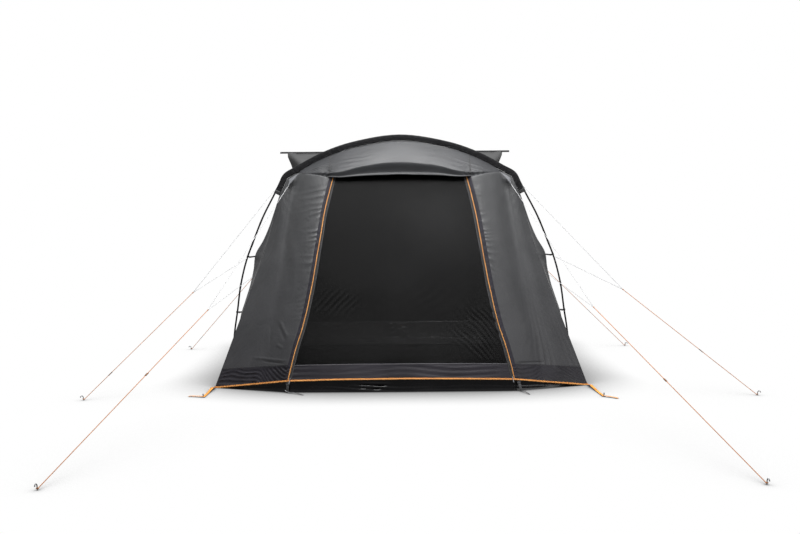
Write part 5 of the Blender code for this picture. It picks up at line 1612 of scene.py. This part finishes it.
def makeDoorPegs(s):
    for label, side in sides.items():
        top, ground, tip = (np.array(spot) for spot in s[label])
        drop = fineLine([top + (0, -0.001, 0.012), top + (0, -0.006, -0.004), (top + ground) / 2 + (0, -0.004, 0),
                         ground + (0, 0.004, 0.002)], 6)
        aim = unit((tip - ground) * (1, 1, 0))
        rod = fineLine([ground - aim * 0.024 + (0, 0, 0.010), ground - aim * 0.002, ground * 0.6 + tip * 0.4 + (0, 0, 0.003),
                        tip + (0, 0, 0.001)], 8)
        rod[:, 2] = np.maximum(rod[:, 2], 0.0035)
        parts = [sweep(mirrored(drop, side), strap(0.020, 0.0022), 0, up=(0, -1, 0.2)),
                 sweep(mirrored(drop[3:9] + (0, -0.0028, 0), side), strap(0.0205, 0.0022), 0, up=(0, -1, 0.2))]
        carry(build("door_strap_" + label, parts, [bindingTape]), ("door_peg_" + label,))
        buckle = ladderBuckle(mirrored(drop[6] + (0, -0.003, 0), side), unit(mirrored(drop[9] - drop[5], side)),
                              np.array((0, -1.0, 0.1)), 0.026, 0.022, 0)
        eye = [ground + (0.0082 * cos(q), -0.002, 0.001 + 0.0082 * sin(q)) for q in np.arange(18) * pi / 9]
        buckle.append(sweep(mirrored(eye, side), circle(0.0018, 8), loop=True))
        carry(build("door_buckle_" + label, buckle, [darkPlastic]))
        carry(build("door_peg_rod_" + label, [sweep(mirrored(rod, side), circle(0.0030, 10))], [pegSteel]))


makeDoorPegs(doorPegLook)
print("webbing and pegs")


# Floor, light and camera

# The floor's painted contact shadow: its ambient occlusion reach, darkest glow and fall-off are set here.
stageLook = {"floor": 60.0, "white": 1.0, "paper": (0.15, 0.15, 0.15, 1), "contact": 0.6, "dim": 0.02, "fade": 2.6,
             "sky": {"zenith": 0.75, "horizon": 0.20},
             "lights": (("overhead", (0.1, -1.6, 5.6), (0.0, 0.3, 0.9), 3.6, 520.0),
                        ("right", (6.0, -4.5, 3.4), (0.6, 0.0, 1.0), 3.0, 90.0),
                        ("inside", (0.2, 1.6, 1.3), (0.2, 2.6, 0.0), 0.25, 14.0))}


# The floor and sky are white to the camera. The floor glows white for camera rays, with a painted contact shadow that
# darkens its glow by ambient occlusion where the awning stands close to it.
def makeStage(s):
    mesh = bpy.data.meshes.new("studio_floor")
    r = s["floor"]
    mesh.from_pydata([(-r, -r, 0), (r, -r, 0), (r, r, 0), (-r, r, 0)], [], [(0, 1, 2, 3)])
    floor = bpy.data.objects.new("studio_floor", mesh)
    scene.collection.objects.link(floor)
    paper = bpy.data.materials.new("studioPaper")
    paper.use_nodes = True
    tree = paper.node_tree
    shader = tree.nodes["Principled BSDF"]
    ray, near, lift, curve, paintedShadowGlow, bounce = (tree.nodes.new("ShaderNode" + kind) for kind in (
        "LightPath", "AmbientOcclusion", "MapRange", "Math", "Math", "Mix"))
    # Painted contact shadow: ambient occlusion darkens the floor's glow as the camera sees it.
    near.samples = 16
    near.inputs["Distance"].default_value = s["contact"]
    curve.operation = "POWER"
    curve.inputs[1].default_value = s["fade"]
    lift.inputs["To Min"].default_value = s["dim"]
    lift.inputs["To Max"].default_value = s["white"]
    paintedShadowGlow.operation = "MULTIPLY"
    tree.links.new(near.outputs["AO"], curve.inputs[0])
    tree.links.new(curve.outputs[0], lift.inputs["Value"])
    tree.links.new(lift.outputs["Result"], paintedShadowGlow.inputs[0])
    tree.links.new(ray.outputs["Is Camera Ray"], paintedShadowGlow.inputs[1])
    tree.links.new(paintedShadowGlow.outputs[0], shader.inputs["Emission Strength"])
    shader.inputs["Emission Color"].default_value = (1, 1, 1, 1)
    bounce.data_type = "RGBA"
    bounce.inputs[6].default_value = s["paper"]
    bounce.inputs[7].default_value = (0, 0, 0, 1)
    tree.links.new(ray.outputs["Is Camera Ray"], bounce.inputs[0])
    tree.links.new(bounce.outputs[2], shader.inputs["Base Color"])
    shader.inputs["Roughness"].default_value = 0.9
    shader.inputs["Specular IOR Level"].default_value = 0.0
    mesh.materials.append(paper)
    world = bpy.data.worlds.new("studioSky")
    world.use_nodes = True
    tree = world.node_tree
    ray, place, split, rise, pick = (tree.nodes.new("ShaderNode" + kind) for kind in (
        "LightPath", "TexCoord", "SeparateXYZ", "MapRange", "Mix"))
    rise.inputs["To Min"].default_value = s["sky"]["horizon"]
    rise.inputs["To Max"].default_value = s["sky"]["zenith"]
    pick.inputs[3].default_value = s["white"]
    tree.links.new(place.outputs["Generated"], split.inputs[0])
    tree.links.new(split.outputs["Z"], rise.inputs["Value"])
    tree.links.new(rise.outputs["Result"], pick.inputs[2])
    tree.links.new(ray.outputs["Is Camera Ray"], pick.inputs[0])
    tree.links.new(pick.outputs[0], tree.nodes["Background"].inputs["Strength"])
    tree.nodes["Background"].inputs["Color"].default_value = (1, 1, 1, 1)
    scene.world = world
    for name, place, aim, size, power in s["lights"]:
        lamp = bpy.data.lights.new(name + "_light", "AREA")
        lamp.shape = "SQUARE"
        lamp.size = size
        lamp.energy = power
        obj = bpy.data.objects.new(name + "_light", lamp)
        scene.collection.objects.link(obj)
        obj.location = Vector(place)
        obj.rotation_euler = (Vector(aim) - Vector(place)).to_track_quat("-Z", "Y").to_euler()
    scene.view_settings.view_transform = "Standard"


makeStage(stageLook)

cameraLook = {"place": (0.0004, -7.8648, 1.4093), "lens": 43.311, "pitch": 3.087, "yaw": 0.027, "roll": -0.439}


def makeCamera(s):
    data = bpy.data.cameras.new("photo_view")
    data.lens = s["lens"]
    data.sensor_width = 36.0
    camera = bpy.data.objects.new("photo_view", data)
    scene.collection.objects.link(camera)
    turn = (Matrix.Rotation(radians(s["yaw"]), 4, "Z") @ Matrix.Rotation(radians(90 - s["pitch"]), 4, "X")
            @ Matrix.Rotation(radians(s["roll"]), 4, "Z"))
    camera.matrix_world = Matrix.Translation(np.array(s["place"]) - home) @ turn
    scene.camera = camera


makeCamera(cameraLook)
print("flat sizes", flatSizes)
